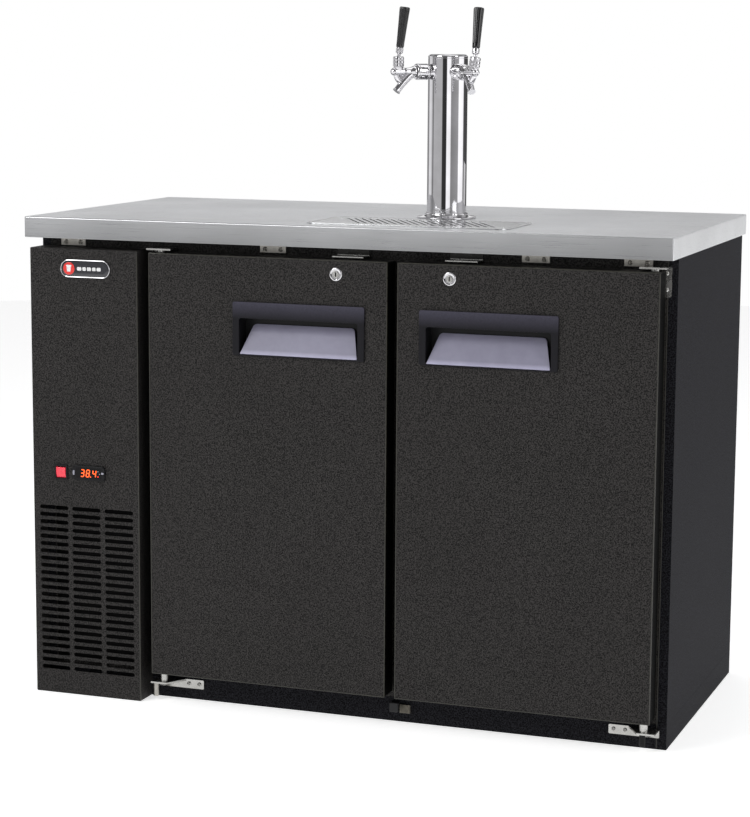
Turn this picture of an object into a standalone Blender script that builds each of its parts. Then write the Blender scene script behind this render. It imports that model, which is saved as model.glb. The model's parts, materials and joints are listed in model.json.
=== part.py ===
"""Two-door back-bar kegerator with a twin-faucet draft tower, as separate pieces.

Metres, +Z up, front towards -Y.  The origin is on the floor, under the middle of the worktop.
"""
import math

import bpy
from mathutils import Matrix, Vector
from mathutils.geometry import delaunay_2d_cdt

# ---- driving dimensions ------------------------------------------------------------------
CLEAR = 0.0003              # running clearance between pieces that touch
WIDTH = 1.219               # worktop, side to side
DEPTH = 0.630               # worktop, front to back
COUNTER_HEIGHT = 0.903      # floor to the worktop's surface
TOP_THICKNESS = 0.0383      # worktop
SIDE_OVERHANG = 0.005       # worktop past the side panels
FRONT_OVERHANG = 0.0118     # worktop past the doors
BACK_OVERHANG = 0.0124      # worktop past the back panel
BASE_HEIGHT = 0.045         # chassis tray under the cabinet
SHEET = 0.0015              # outer panels and liner
FACE_SHEET = 0.002          # front frame and chassis

DOOR_THICKNESS = 0.0442
GASKET_THICKNESS = 0.0068
GASKET_WIDTH = 0.013
GASKET_INSET = 0.0155       # from a door's edge
DOOR_BOTTOM = 0.057
DOOR_TOP_GAP = 0.0217       # door top to the worktop's underside
DOOR_GAP = 0.019            # between the two doors
DOOR_SPLIT = 0.1075         # middle of that gap, from the cabinet's middle
GRILLE_WIDTH = 0.2185
GRILLE_TOP_GAP = 0.0193     # grille panel to the worktop's underside
GRILLE_DOOR_GAP = 0.023
RIGHT_STILE = 0.0195

WALL_SIDE = 0.0457          # insulation, right wall
WALL_PARTITION = 0.0505     # insulation, wall to the machine compartment
WALL_BACK = 0.0478
WALL_FLOOR = 0.0397
WALL_CEILING = 0.0491

PIVOT_INSET = 0.015         # door pivot from the door's hinge edge
PIVOT_DEPTH = 0.0232        # door pivot behind the door's front
PIN_RADIUS = 0.004
PIN_GRIP = 0.012            # pin length inside the door
HANDLE_WIDTH = 0.252
HANDLE_HEIGHT = 0.097
HANDLE_EDGE = 0.0415        # handle from the door's free edge
HANDLE_TOP = 0.081          # handle from the door's top
HANDLE_DEPTH = 0.032
LOCK_EDGE = 0.096           # lock from the door's free edge
LOCK_TOP = 0.025            # lock from the door's top
LOCK_RADIUS = 0.0095
LOCK_DEPTH = 0.024          # barrel, behind the door's front
PLUG_RADIUS = 0.006
CAM_RADIUS = 0.008
CAM_THROW = 0.0056
BOLT_TRAVEL = 0.008
BOLT_WIDTH = 0.011
BOLT_THICKNESS = 0.0035

TOWER_X = 0.114
TOWER_Y = -0.023
TOWER_HEIGHT = 0.300        # above the worktop
COLUMN_RADIUS = 0.0365
COLUMN_WALL = 0.0015
FLANGE_RADIUS = 0.0545
TOWER_BORE = 0.030          # radius of the cold-air and beer-line bore
SHANK_DROP = 0.032          # shank axis below the tower's top
SHANK_RADIUS = 0.011
FAUCET_ANGLES = {"left": -135.0, "right": -45.0}
FAUCET_ROLL = {"left": 0.0, "right": -8.0}
LEVER_REACH = 0.0645        # lever pivot from the column's wall
LEVER_LIFT = 0.024          # lever pivot above the shank axis
LEVER_LEAN = 7.5            # closed lever leans back by this many degrees

TRAY_WIDTH = 0.380
TRAY_DEPTH = 0.172
TRAY_GAP = 0.0155           # tower flange to the drip tray
TRAY_BOWL = 0.024           # bowl depth below the worktop's surface
TRAY_LIP = 0.006            # drip pan's rim past its bowl
TRAY_SHEET = 0.0012
TRAY_PROUD = 0.0016         # rim above the worktop
TRAY_CORNER = 0.012
GRATE_SHEET = 0.0025
GRATE_SLOT = 0.0075
GRATE_PITCH = 0.0170
GRATE_SLANT = 120.0         # degrees from +X
GRATE_BORDER = 0.026        # unslotted edge, front and back

HANDLE_JAMB = 0.0125        # frame beside the finger pocket
HANDLE_BAR = 0.0295         # grip bar above it
HANDLE_SILL = 0.002
HANDLE_WALL = 0.002
HANDLE_PROUD = 0.004
HANDLE_CREST = 0.006        # pocket's roof below the frame's top

CLIP_WIDTH = 0.050
CLIP_REACH = 0.024
CLIP_DROP = 0.0172          # clip's leg below the worktop
CLIP_SHEET = 0.0022
CLIP_ENDS = (0.065, 0.069)  # outermost clips from the cabinet's sides
CLIP_SPREAD = 0.246         # the other two, each side of the door gap

LOUVRE_ROWS = 23
LOUVRE_PITCH = 0.01403
LOUVRE_LOW = 0.0493         # lowest row above the floor
LOUVRE_HEIGHT = 0.0075
LOUVRE_MARGIN = 0.01265     # panel's edge to the slots
LOUVRE_BAR = 0.0081         # between two columns of slots
SWITCH_PLACE = (-0.0505, 0.4265)   # from the panel's middle, and height
SWITCH_SIZE = (0.0274, 0.029)
DISPLAY_PLACE = (0.0073, 0.428)
DISPLAY_SIZE = (0.0672, 0.028)
CONTROL_LIP = 0.002         # bezel past its hole in the panel
CONTROL_BODY = 0.024        # behind the panel's face
ROCKER_HALF = (0.0094, 0.0100)
ROCKER_TIP = 8.0            # degrees each way from level
ROCKER_PIVOT = 0.004        # axle behind the panel's face
AXLE_RADIUS = 0.0012
KEY_STROKE = 0.0008
# Each key: its place on the display's face, and half its width and height.
KEY_SIZES = {"controller_key_1": (-0.0300, 0.0, 0.0016, 0.0045),
             "controller_key_2": (0.0292, 0.0015, 0.0026, 0.0018)}

COIL_SIDES = (0.0145, 0.014)       # compartment's walls to the condenser
COIL_DEPTH = 0.040
COIL_TOP = 0.360
SHROUD_DEPTH = 0.034
FAN_Z = 0.195
FAN_MARGIN = 0.023          # condenser's edge to the fan's tip
FAN_SHAFT = 0.0035
COMPRESSOR_RADIUS = 0.075
COMPRESSOR_BACK = 0.1726    # compressor's axis from the back panel
LINE_RADIUS = 0.005
EVAP_SIZE = (0.225, 0.290)  # evaporator cover, front to back and upright
EVAP_GAPS = (0.018, 0.0253) # from the cold room's back and ceiling
EVAP_DEPTH = 0.075
EVAP_FAN_RADIUS = 0.046
EVAP_PIN = 0.003

BARREL_RADIUS = 0.0075
BONNET_RADIUS = 0.010
BALL_RADIUS = 0.0055
STEM_RADIUS = 0.0030
FERRULE_RADIUS = 0.0065
THREAD_RADIUS = 0.0040

# ---- places worked out from them ---------------------------------------------------------
BODY_X = WIDTH / 2 - SIDE_OVERHANG
FRONT_Y = -DEPTH / 2 + FRONT_OVERHANG
DOOR_BACK_Y = FRONT_Y + DOOR_THICKNESS
FACE_Y = DOOR_BACK_Y + GASKET_THICKNESS + 2 * CLEAR
BACK_Y = DEPTH / 2 - BACK_OVERHANG
TOP_Z = COUNTER_HEIGHT - TOP_THICKNESS
BODY_TOP = TOP_Z - CLEAR
GRILLE_X = -BODY_X + GRILLE_WIDTH
GRILLE_MIDDLE = -BODY_X + GRILLE_WIDTH / 2
DOOR_TOP = TOP_Z - DOOR_TOP_GAP
DOORS = {
    "left": (GRILLE_X + GRILLE_DOOR_GAP, DOOR_SPLIT - DOOR_GAP / 2),
    "right": (DOOR_SPLIT + DOOR_GAP / 2, BODY_X - RIGHT_STILE),
}
PIVOT_Y = FRONT_Y + PIVOT_DEPTH
FOAM_X0 = GRILLE_X + CLEAR
FOAM_X1 = BODY_X - SHEET - CLEAR
FOAM_Y0 = FACE_Y + FACE_SHEET + CLEAR
FOAM_Y1 = BACK_Y - SHEET - CLEAR
FOAM_Z0 = BASE_HEIGHT + CLEAR
CAVITY_X0 = FOAM_X0 + WALL_PARTITION
CAVITY_X1 = FOAM_X1 - WALL_SIDE
CAVITY_Y1 = FOAM_Y1 - WALL_BACK
CAVITY_Z0 = FOAM_Z0 + WALL_FLOOR
CAVITY_Z1 = BODY_TOP - WALL_CEILING
LINER_STEP = SHEET + CLEAR
SHANK_Z = COUNTER_HEIGHT + TOWER_HEIGHT - SHANK_DROP
COLLAR_END = COLUMN_RADIUS + 0.005
SHANK_END = COLUMN_RADIUS + 0.0135
NUT_END = COLUMN_RADIUS + 0.0305
LEVER_X = COLUMN_RADIUS + LEVER_REACH
SPOUT_X = NUT_END + 0.005
TRAY_Y = TOWER_Y - FLANGE_RADIUS - TRAY_GAP - TRAY_DEPTH / 2
BOLT_PLANE = LOCK_DEPTH + 0.0035
LOUVRE_COLUMN = (GRILLE_WIDTH - 2 * LOUVRE_MARGIN + LOUVRE_BAR) / 3
LOUVRE_WIDTH = LOUVRE_COLUMN - LOUVRE_BAR
COIL_X0 = -BODY_X + COIL_SIDES[0]
COIL_X1 = GRILLE_X - COIL_SIDES[1]
COIL_Y = FOAM_Y0 + 0.004
FAN_RADIUS = (COIL_X1 - COIL_X0) / 2 - FAN_MARGIN
COMPRESSOR_Y = BACK_Y - COMPRESSOR_BACK
EVAP_Y = (CAVITY_Y1 - EVAP_GAPS[0] - EVAP_SIZE[0], CAVITY_Y1 - EVAP_GAPS[0])
EVAP_Z = (CAVITY_Z1 - EVAP_GAPS[1] - EVAP_SIZE[1], CAVITY_Z1 - EVAP_GAPS[1])
EVAP_FAN = (sum(EVAP_Y) / 2, EVAP_Z[0] + 0.080)
LINE_Y = EVAP_Y[0] + 0.100
LINE_Z = EVAP_Z[0] + 0.140

# ---- materials ---------------------------------------------------------------------------
FINISHES = {
    "black_steel": ("2B2A2C", 0.55, 0.1),
    "stainless": ("B9B9B7", 0.32, 1.0),
    "polished": ("D6D6D8", 0.10, 1.0),
    "zinc": ("8E8C88", 0.40, 1.0),
    "black_plastic": ("151517", 0.45, 0.0),
    "handle_plastic": ("3B3A46", 0.50, 0.0),
    "gasket_rubber": ("1C1C1E", 0.75, 0.0),
    "liner_steel": ("C3C4C4", 0.35, 1.0),
    "foam": ("D9CFA6", 0.90, 0.0),
    "rocker_red": ("C8122A", 0.25, 0.0),
    "copper": ("B5714A", 0.30, 1.0),
    "fins": ("A9ADB0", 0.45, 1.0),
    "compressor_black": ("1A1A1B", 0.40, 0.3),
    "tap_black": ("0E0E10", 0.30, 0.0),
}


def linear(channel):
    """One sRGB channel, 0 to 1, in linear light."""
    return channel / 12.92 if channel <= 0.04045 else ((channel + 0.055) / 1.055) ** 2.4


def make_material(name, finish):
    """A Principled material from a name in FINISHES."""
    colour, roughness, metallic = FINISHES[finish]
    material = bpy.data.materials.new(name + "_" + finish)
    material.use_nodes = True
    shader = material.node_tree.nodes["Principled BSDF"]
    rgb = [linear(int(colour[i:i + 2], 16) / 255) for i in (0, 2, 4)]
    shader.inputs["Base Color"].default_value = (*rgb, 1.0)
    shader.inputs["Roughness"].default_value = roughness
    shader.inputs["Metallic"].default_value = metallic
    return material


# ---- outlines, in a flat plane -----------------------------------------------------------
def circle(x, y, radius, count=20):
    """A round outline, anticlockwise."""
    turns = [2 * math.pi * i / count for i in range(count)]
    return [(x + radius * math.cos(a), y + radius * math.sin(a)) for a in turns]


def rounded(x0, y0, x1, y1, radius, steps=3):
    """A rectangle with round corners, anticlockwise."""
    corners = [(x1 - radius, y0 + radius, -90), (x1 - radius, y1 - radius, 0),
               (x0 + radius, y1 - radius, 90), (x0 + radius, y0 + radius, 180)]
    points = []
    for x, y, start in corners:
        for i in range(steps + 1):
            a = math.radians(start + 90 * i / steps)
            points.append((x + radius * math.cos(a), y + radius * math.sin(a)))
    return points


def rectangle(x0, y0, x1, y1):
    return [(x0, y0), (x1, y0), (x1, y1), (x0, y1)]


def area(loop):
    """Twice the signed area of an outline."""
    pairs = zip(loop, loop[1:] + loop[:1])
    return sum(a[0] * b[1] - b[0] * a[1] for a, b in pairs)


def turned_slot(x, y, length, width, angle, steps=2):
    """A slot with round ends, its length along an angle in degrees from +X."""
    straight = length / 2 - width / 2
    outline = []
    for side in (0, 180):
        for i in range(steps + 1):
            a = math.radians(side - 90 + 180 * i / steps)
            across = straight * (1 if side == 0 else -1) + width / 2 * math.cos(a)
            outline.append((across, width / 2 * math.sin(a)))
    c, s = math.cos(math.radians(angle)), math.sin(math.radians(angle))
    return [(x + c * u - s * v, y + s * u + c * v) for u, v in outline]


# ---- solids, as (points, faces) ----------------------------------------------------------
def inside(x, y, loop):
    """Whether a point lies in an outline: a ray from it crosses the outline an odd number of times."""
    odd = False
    for (x0, y0), (x1, y1) in zip(loop, loop[1:] + loop[:1]):
        if (y0 > y) != (y1 > y) and x < x0 + (y - y0) * (x1 - x0) / (y1 - y0):
            odd = not odd
    return odd


def flat_faces(loops):
    """Triangles inside the first loop and outside the others, facing +Z."""
    points = [Vector(p) for loop in loops for p in loop]
    edges, first = [], 0
    for loop in loops:
        edges += [(first + i, first + (i + 1) % len(loop)) for i in range(len(loop))]
        first += len(loop)
    found, _, faces, _, _, _ = delaunay_2d_cdt(points, edges, [], 0, 1e-7)
    if len(found) != len(points):
        raise RuntimeError("an outline crosses itself")
    kept = []
    for face in faces:
        x, y = sum((found[i] for i in face), Vector((0, 0))) / 3
        if inside(x, y, loops[0]) and not any(inside(x, y, hole) for hole in loops[1:]):
            kept.append(tuple(face))
    return kept


def wall(first_a, first_b, count, inward=False):
    """Quads between two equal loops of points; outward where the loop runs anticlockwise."""
    quads = []
    for i in range(count):
        j = (i + 1) % count
        quad = (first_a + i, first_a + j, first_b + j, first_b + i)
        quads.append(quad[::-1] if inward else quad)
    return quads


def prism(outline, low, high, holes=()):
    """An outline with through holes, extruded from low to high along Z."""
    loops = [outline if area(outline) > 0 else outline[::-1]]
    loops += [hole if area(hole) > 0 else hole[::-1] for hole in holes]
    count = sum(len(loop) for loop in loops)
    points = [(x, y, z) for z in (low, high) for loop in loops for x, y in loop]
    top = flat_faces(loops)
    faces = [face[::-1] for face in top]
    faces += [tuple(i + count for i in face) for face in top]
    first = 0
    for number, loop in enumerate(loops):
        faces += wall(first, first + count, len(loop), inward=number > 0)
        first += len(loop)
    return points, faces


def pan(outline, inner, low, floor, high, holes=()):
    """A tray: its floor, with through holes, runs from low to floor, and its rim ends at high."""
    size, inside = len(outline), len(inner)
    base = [outline, *holes]
    points = [(x, y, low) for loop in base for x, y in loop]
    faces = [face[::-1] for face in flat_faces(base)]
    rim_outer = len(points)
    points += [(x, y, high) for x, y in outline]
    rim_inner = len(points)
    points += [(x, y, high) for x, y in inner]
    faces += [tuple(i + rim_outer for i in face) for face in flat_faces([outline, inner])]
    floor_first = len(points)
    points += [(x, y, floor) for loop in (inner, *holes) for x, y in loop]
    faces += [tuple(i + floor_first for i in face) for face in flat_faces([inner, *holes])]
    faces += wall(0, rim_outer, size)
    faces += wall(floor_first, rim_inner, inside, inward=True)
    low_first, high_first = size, floor_first + inside
    for hole in holes:
        faces += wall(low_first, high_first, len(hole), inward=True)
        low_first += len(hole)
        high_first += len(hole)
    return points, faces


def loft(loops, ring=False):
    """Equal loops of 3-D points bridged in turn; capped at the ends, or closed into a ring."""
    count = len(loops[0])
    points = [p for loop in loops for p in loop]
    faces = []
    for i in range(len(loops) - (0 if ring else 1)):
        faces += wall(i * count, (i + 1) % len(loops) * count, count)
    if not ring:
        last = len(points) - count
        faces.append(tuple(reversed(range(count))))
        faces.append(tuple(range(last, last + count)))
    return points, faces


def turn(profile, count=20, ring=False):
    """A profile of (radius, height), bottom to top outside, turned about Z."""
    loops = [[(x, y, z) for x, y in circle(0, 0, radius, count)] for radius, z in profile]
    return loft(loops, ring)


def soft_box(x0, y0, z0, x1, y1, z1, corner, edge, steps=2):
    """A box with round upright corners and rounded top and bottom edges."""
    loops = []
    for i in range(steps + 1):
        a = math.radians(90 * i / steps)
        inset, drop = edge * (1 - math.sin(a)), edge * (1 - math.cos(a))
        loops.append((inset, z0 + drop))
    loops += [(inset, z1 - (z - z0)) for inset, z in reversed(loops)]
    rings = []
    for inset, z in loops:
        outline = rounded(x0 + inset, y0 + inset, x1 - inset, y1 - inset, corner - inset)
        rings.append([(x, y, z) for x, y in outline])
    return loft(rings)


def box(x0, y0, z0, x1, y1, z1):
    return prism(rectangle(x0, y0, x1, y1), z0, z1)


def placed(solid, matrix):
    """The same solid, moved."""
    points, faces = solid
    return [tuple(matrix @ Vector(p)) for p in points], faces


# Flat outlines drawn as (x, z) seen from the front; a height h lies at y = -h.
FRONT = Matrix(((1, 0, 0, 0), (0, 0, -1, 0), (0, 1, 0, 0), (0, 0, 0, 1)))
# Flat outlines drawn as (y, z) seen from +X; a height h lies at x = h.
SIDE = Matrix(((0, 0, 1, 0), (1, 0, 0, 0), (0, 1, 0, 0), (0, 0, 0, 1)))


def front_plate(outline, y0, y1, holes=()):
    """A plate parallel to the doors, from y0 at the front to y1 at the back."""
    return placed(prism(outline, -y1, -y0, holes), FRONT)


def side_plate(outline, x0, x1, holes=()):
    """A plate parallel to the side panels."""
    return placed(prism(outline, x0, x1, holes), SIDE)


def shift(x=0.0, y=0.0, z=0.0):
    return Matrix.Translation((x, y, z))


# ---- objects -----------------------------------------------------------------------------
def make_mesh(name, solid):
    points, faces = solid
    mesh = bpy.data.meshes.new(name)
    mesh.from_pydata([tuple(p) for p in points], [], faces)
    mesh.validate()
    mesh.shade_smooth()
    mesh.set_sharp_from_angle(angle=math.radians(35))
    return mesh


def add(name, solid, finish, parent=None, place=None):
    """One named piece.  place is its matrix in its parent's frame."""
    piece = bpy.data.objects.new(name, make_mesh(name, solid))
    piece.data.materials.append(make_material(name, finish))
    bpy.context.scene.collection.objects.link(piece)
    piece.parent = parent
    piece.matrix_local = place or Matrix()
    return piece


def frame_at(name, matrix, parent=None):
    """An empty that carries pieces."""
    empty = bpy.data.objects.new(name, None)
    bpy.context.scene.collection.objects.link(empty)
    empty.parent = parent
    empty.matrix_local = matrix
    return empty


def shape(piece, operation, solids):
    """Unite a piece with solids, or cut them out of it, in the piece's own frame."""
    for number, solid in enumerate(solids):
        guide_name = "{}_{}_{}".format(piece.name, operation.lower(), number)
        guide = bpy.data.objects.new(guide_name, make_mesh(guide_name, solid))
        bpy.context.scene.collection.objects.link(guide)
        guide.parent = piece
        guide.hide_render = True
        guide.display_type = "WIRE"
        step = piece.modifiers.new(guide_name, "BOOLEAN")
        step.operation = operation
        step.solver = "EXACT"
        step.object = guide


# ---- cabinet -----------------------------------------------------------------------------
def build_chassis():
    outer = rectangle(-BODY_X, FACE_Y, BODY_X, BACK_Y)
    inner = rectangle(-BODY_X + FACE_SHEET, FACE_Y + FACE_SHEET,
                      BODY_X - FACE_SHEET, BACK_Y - FACE_SHEET)
    add("base_pan", pan(outer, inner, 0, FACE_SHEET, BASE_HEIGHT), "black_steel")


def build_side_panels():
    """Each panel is a long L in plan: the side and a narrow front flange."""
    flange = 0.0165
    low, high = BASE_HEIGHT + CLEAR, BODY_TOP
    for name, side in (("left_side_panel", -1), ("right_side_panel", 1)):
        outline = [(side * BODY_X, FACE_Y), (side * BODY_X, BACK_Y),
                   (side * (BODY_X - SHEET), BACK_Y),
                   (side * (BODY_X - SHEET), FACE_Y + SHEET),
                   (side * (BODY_X - flange), FACE_Y + SHEET),
                   (side * (BODY_X - flange), FACE_Y)]
        add(name, prism(outline, low, high), "black_steel")


def build_back_panel():
    """Vents behind the machine compartment, and the gland where a supply lead would enter."""
    x0, x1 = -BODY_X + SHEET + CLEAR, BODY_X - SHEET - CLEAR
    z0, z1 = BASE_HEIGHT + CLEAR, BODY_TOP
    y0 = BACK_Y - SHEET
    slots = [turned_slot(GRILLE_MIDDLE + side * 0.045, 0.16 + 0.030 * row, 0.070, 0.010, 0)
             for side in (-1, 1) for row in range(10)]
    panel = add("back_panel", front_plate(rectangle(x0, z0, x1, z1), y0, BACK_Y, slots),
                "black_steel")
    # Front plates turn backwards: the gland's turned profile points to +Y.
    gland = turn([(0.012, -0.004), (0.012, SHEET / 2), (0.013, SHEET / 2), (0.013, 0.006),
                  (0.009, 0.0085)], 24)
    to_back = shift(GRILLE_MIDDLE, y0, 0.095) @ Matrix.Rotation(-math.pi / 2, 4, "X")
    shape(panel, "UNION", [placed(gland, to_back)])
    bore = turn([(0.0045, -0.010), (0.0045, 0.020)], 16)
    shape(panel, "DIFFERENCE", [placed(bore, to_back)])


def build_front_frame():
    """The painted face behind the doors, with the mullion between the two openings."""
    overlap = GASKET_INSET + GASKET_WIDTH + 0.0015
    z0, z1 = DOOR_BOTTOM + overlap, DOOR_TOP - overlap
    openings = [rounded(x0 + overlap, z0, x1 - overlap, z1, 0.008) for x0, x1 in DOORS.values()]
    service = rectangle(-BODY_X + 0.0195, 0.055, GRILLE_X - 0.019, BODY_TOP - 0.035)
    outline = rectangle(-BODY_X + 0.0168, BASE_HEIGHT + CLEAR, BODY_X - 0.0168, BODY_TOP)
    face = front_plate(outline, FACE_Y, FACE_Y + FACE_SHEET, [service, *openings])
    frame = add("front_frame", face, "black_steel")
    left, right = DOORS["left"][1] - overlap, DOORS["right"][0] + overlap
    fit = LINER_STEP + CLEAR
    mullion = box(left + 0.004, FACE_Y + FACE_SHEET / 2, CAVITY_Z0 + fit,
                  right - 0.004, FACE_Y + 0.042, CAVITY_Z1 - fit)
    shape(frame, "UNION", [mullion])


def build_insulation():
    """Foamed walls round the cold room, open to the front, with the bores that pass them."""
    foam = add("insulation_body", box(FOAM_X0, FOAM_Y0, FOAM_Z0, FOAM_X1, FOAM_Y1, BODY_TOP),
               "foam")
    room = box(CAVITY_X0, FOAM_Y0 - 0.01, CAVITY_Z0, CAVITY_X1, CAVITY_Y1, CAVITY_Z1)
    shape(foam, "DIFFERENCE", [room, tower_bore(), line_bore()])


def tower_bore():
    """Beer lines and cold air pass from the cold room into the tower."""
    bore = turn([(TOWER_BORE, CAVITY_Z1 - 0.02), (TOWER_BORE, COUNTER_HEIGHT + 0.02)], 32)
    return placed(bore, shift(TOWER_X, TOWER_Y))


def line_bore():
    """The refrigerant line passes through the partition."""
    bore = turn([(0.011, 0), (0.011, WALL_PARTITION + 0.03)], 20)
    to_side = Matrix.Rotation(math.pi / 2, 4, "Y")
    return placed(bore, shift(FOAM_X0 - 0.015, LINE_Y, LINE_Z) @ to_side)


def build_liner():
    """Metal liner inside the foam; its front edge stands behind the front frame."""
    x0, x1 = CAVITY_X0 + CLEAR, CAVITY_X1 - CLEAR
    z0, z1 = CAVITY_Z0 + CLEAR, CAVITY_Z1 - CLEAR
    y1 = CAVITY_Y1 - CLEAR
    tray = pan(rectangle(x0, z0, x1, z1),
               rectangle(x0 + SHEET, z0 + SHEET, x1 - SHEET, z1 - SHEET),
               -y1, -y1 + SHEET, -FOAM_Y0)
    liner = add("inner_liner", placed(tray, FRONT), "liner_steel")
    shape(liner, "DIFFERENCE", [tower_bore(), line_bore()])


def build_worktop():
    """Foam-filled stainless worktop with the tower bore and the drip pan's recess."""
    x, y = WIDTH / 2, DEPTH / 2
    top = add("countertop", soft_box(-x, -y, TOP_Z, x, y, COUNTER_HEIGHT, 0.004, 0.0016, 3),
              "stainless")
    gap = CLEAR + TRAY_LIP
    recess = box(TOWER_X - TRAY_WIDTH / 2 + gap, TRAY_Y - TRAY_DEPTH / 2 + gap,
                 COUNTER_HEIGHT - TRAY_BOWL - 2 * CLEAR,
                 TOWER_X + TRAY_WIDTH / 2 - gap, TRAY_Y + TRAY_DEPTH / 2 - gap,
                 COUNTER_HEIGHT + 0.01)
    shape(top, "DIFFERENCE", [recess, tower_bore()])


def build_top_clips():
    """Angle brackets that hold the worktop to the front frame."""
    middles = (-BODY_X + CLIP_ENDS[0], DOOR_SPLIT - CLIP_SPREAD, DOOR_SPLIT + CLIP_SPREAD,
               BODY_X - CLIP_ENDS[1])
    front = FACE_Y - CLEAR
    low, high = TOP_Z - CLIP_DROP, TOP_Z - CLEAR
    profile = [(front, low), (front, high), (front - CLIP_REACH, high),
               (front - CLIP_REACH, high - CLIP_SHEET), (front - CLIP_SHEET, high - CLIP_SHEET),
               (front - CLIP_SHEET, low)]
    for number, middle in enumerate(middles, 1):
        clip = side_plate(profile, middle - CLIP_WIDTH / 2, middle + CLIP_WIDTH / 2)
        add("top_clip_{}".format(number), clip, "zinc")


# ---- doors -------------------------------------------------------------------------------
def free_edge(side):
    """The x of a door's free edge, and the way from it towards the hinge."""
    x0, x1 = DOORS[side]
    return (x1, -1) if side == "left" else (x0, 1)


def pivot_x(side):
    x0, x1 = DOORS[side]
    return x0 + PIVOT_INSET if side == "left" else x1 - PIVOT_INSET


def lock_place(side):
    edge, way = free_edge(side)
    return edge + way * LOCK_EDGE, DOOR_TOP - LOCK_TOP


def handle_box(side):
    """Left, right, bottom and top of a handle's frame."""
    edge, way = free_edge(side)
    near = edge + way * HANDLE_EDGE
    x0, x1 = sorted((near, near + way * HANDLE_WIDTH))
    top = DOOR_TOP - HANDLE_TOP
    return x0, x1, top - HANDLE_HEIGHT, top


def handle_pocket(side, grow):
    """The handle's box behind the door's skin."""
    x0, x1, z0, z1 = handle_box(side)
    inset = HANDLE_JAMB - HANDLE_WALL - grow
    return box(x0 + inset, FRONT_Y - CLEAR - 0.0005, z0 + 0.0015 - grow,
               x1 - inset, FRONT_Y + HANDLE_DEPTH + grow, z1 - HANDLE_CREST + grow)


def door_matrix(side):
    return shift(pivot_x(side), PIVOT_Y, 0)


def build_door(side):
    """A door in its hinge's frame: skin, gasket, handle and lock all swing with it."""
    hinge = frame_at(side + "_door_frame", door_matrix(side))
    local = door_matrix(side).inverted()
    x0, x1 = DOORS[side]
    slab = soft_box(x0, DOOR_BOTTOM, -DOOR_BACK_Y, x1, DOOR_TOP, -FRONT_Y, 0.003, 0.0015)
    door = add(side + "_door", placed(placed(slab, FRONT), local), "black_steel", hinge)
    lock_x, lock_z = lock_place(side)
    face = shift(lock_x, FRONT_Y, lock_z) @ Matrix.Rotation(-math.pi / 2, 4, "X")
    lock_bore = turn([(LOCK_RADIUS + CLEAR, -0.01), (LOCK_RADIUS + CLEAR, BOLT_PLANE)])
    bolt_slot = box(lock_x - 0.001, FRONT_Y + BOLT_PLANE - 0.0008, lock_z - 0.0095,
                    lock_x + BOLT_WIDTH + 0.001, FRONT_Y + BOLT_PLANE + BOLT_THICKNESS + 0.0005,
                    DOOR_TOP + 0.01)
    pin = turn([(PIN_RADIUS + 0.0005, -0.02), (PIN_RADIUS + 0.0005, PIN_GRIP + 0.001)], 20)
    pivot = (pivot_x(side), PIVOT_Y)
    over = shift(*pivot, DOOR_TOP) @ Matrix.Rotation(math.pi, 4, "X")
    cuts = [handle_pocket(side, CLEAR), placed(lock_bore, face), bolt_slot,
            placed(pin, shift(*pivot, DOOR_BOTTOM)), placed(pin, over)]
    shape(door, "DIFFERENCE", [placed(cut, local) for cut in cuts])

    a, b = GASKET_INSET, GASKET_INSET + GASKET_WIDTH
    ring = front_plate(rounded(x0 + a, DOOR_BOTTOM + a, x1 - a, DOOR_TOP - a, 0.010),
                       DOOR_BACK_Y + CLEAR, FACE_Y - CLEAR,
                       [rounded(x0 + b, DOOR_BOTTOM + b, x1 - b, DOOR_TOP - b, 0.005)])
    add(side + "_door_gasket", placed(ring, local), "gasket_rubber", hinge)
    build_handle(side, hinge, local)
    build_lock(side, hinge, local)


def build_handle(side, hinge, local):
    """Moulded recessed handle: frame, grip bar, and a pocket whose floor slopes inwards."""
    x0, x1, z0, z1 = handle_box(side)
    frame = soft_box(x0, z0, CLEAR - FRONT_Y, x1, z1, HANDLE_PROUD - FRONT_Y, 0.003, 0.001)
    handle = add(side + "_door_handle", placed(placed(frame, FRONT), local), "handle_plastic",
                 hinge)
    sill, lintel = z0 + HANDLE_SILL, z1 - HANDLE_BAR
    front, back = FRONT_Y - HANDLE_PROUD - 0.002, FRONT_Y + HANDLE_DEPTH - HANDLE_WALL
    crest = z1 - HANDLE_CREST - HANDLE_WALL
    profile = [(front, sill - 0.003), (back, lintel - 0.0125), (back, crest),
               (FRONT_Y + 0.006, crest), (FRONT_Y + 0.006, lintel), (front, lintel)]
    fingers = side_plate(profile, x0 + HANDLE_JAMB, x1 - HANDLE_JAMB)
    shape(handle, "UNION", [placed(handle_pocket(side, 0), local)])
    shape(handle, "DIFFERENCE", [placed(fingers, local)])


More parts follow.
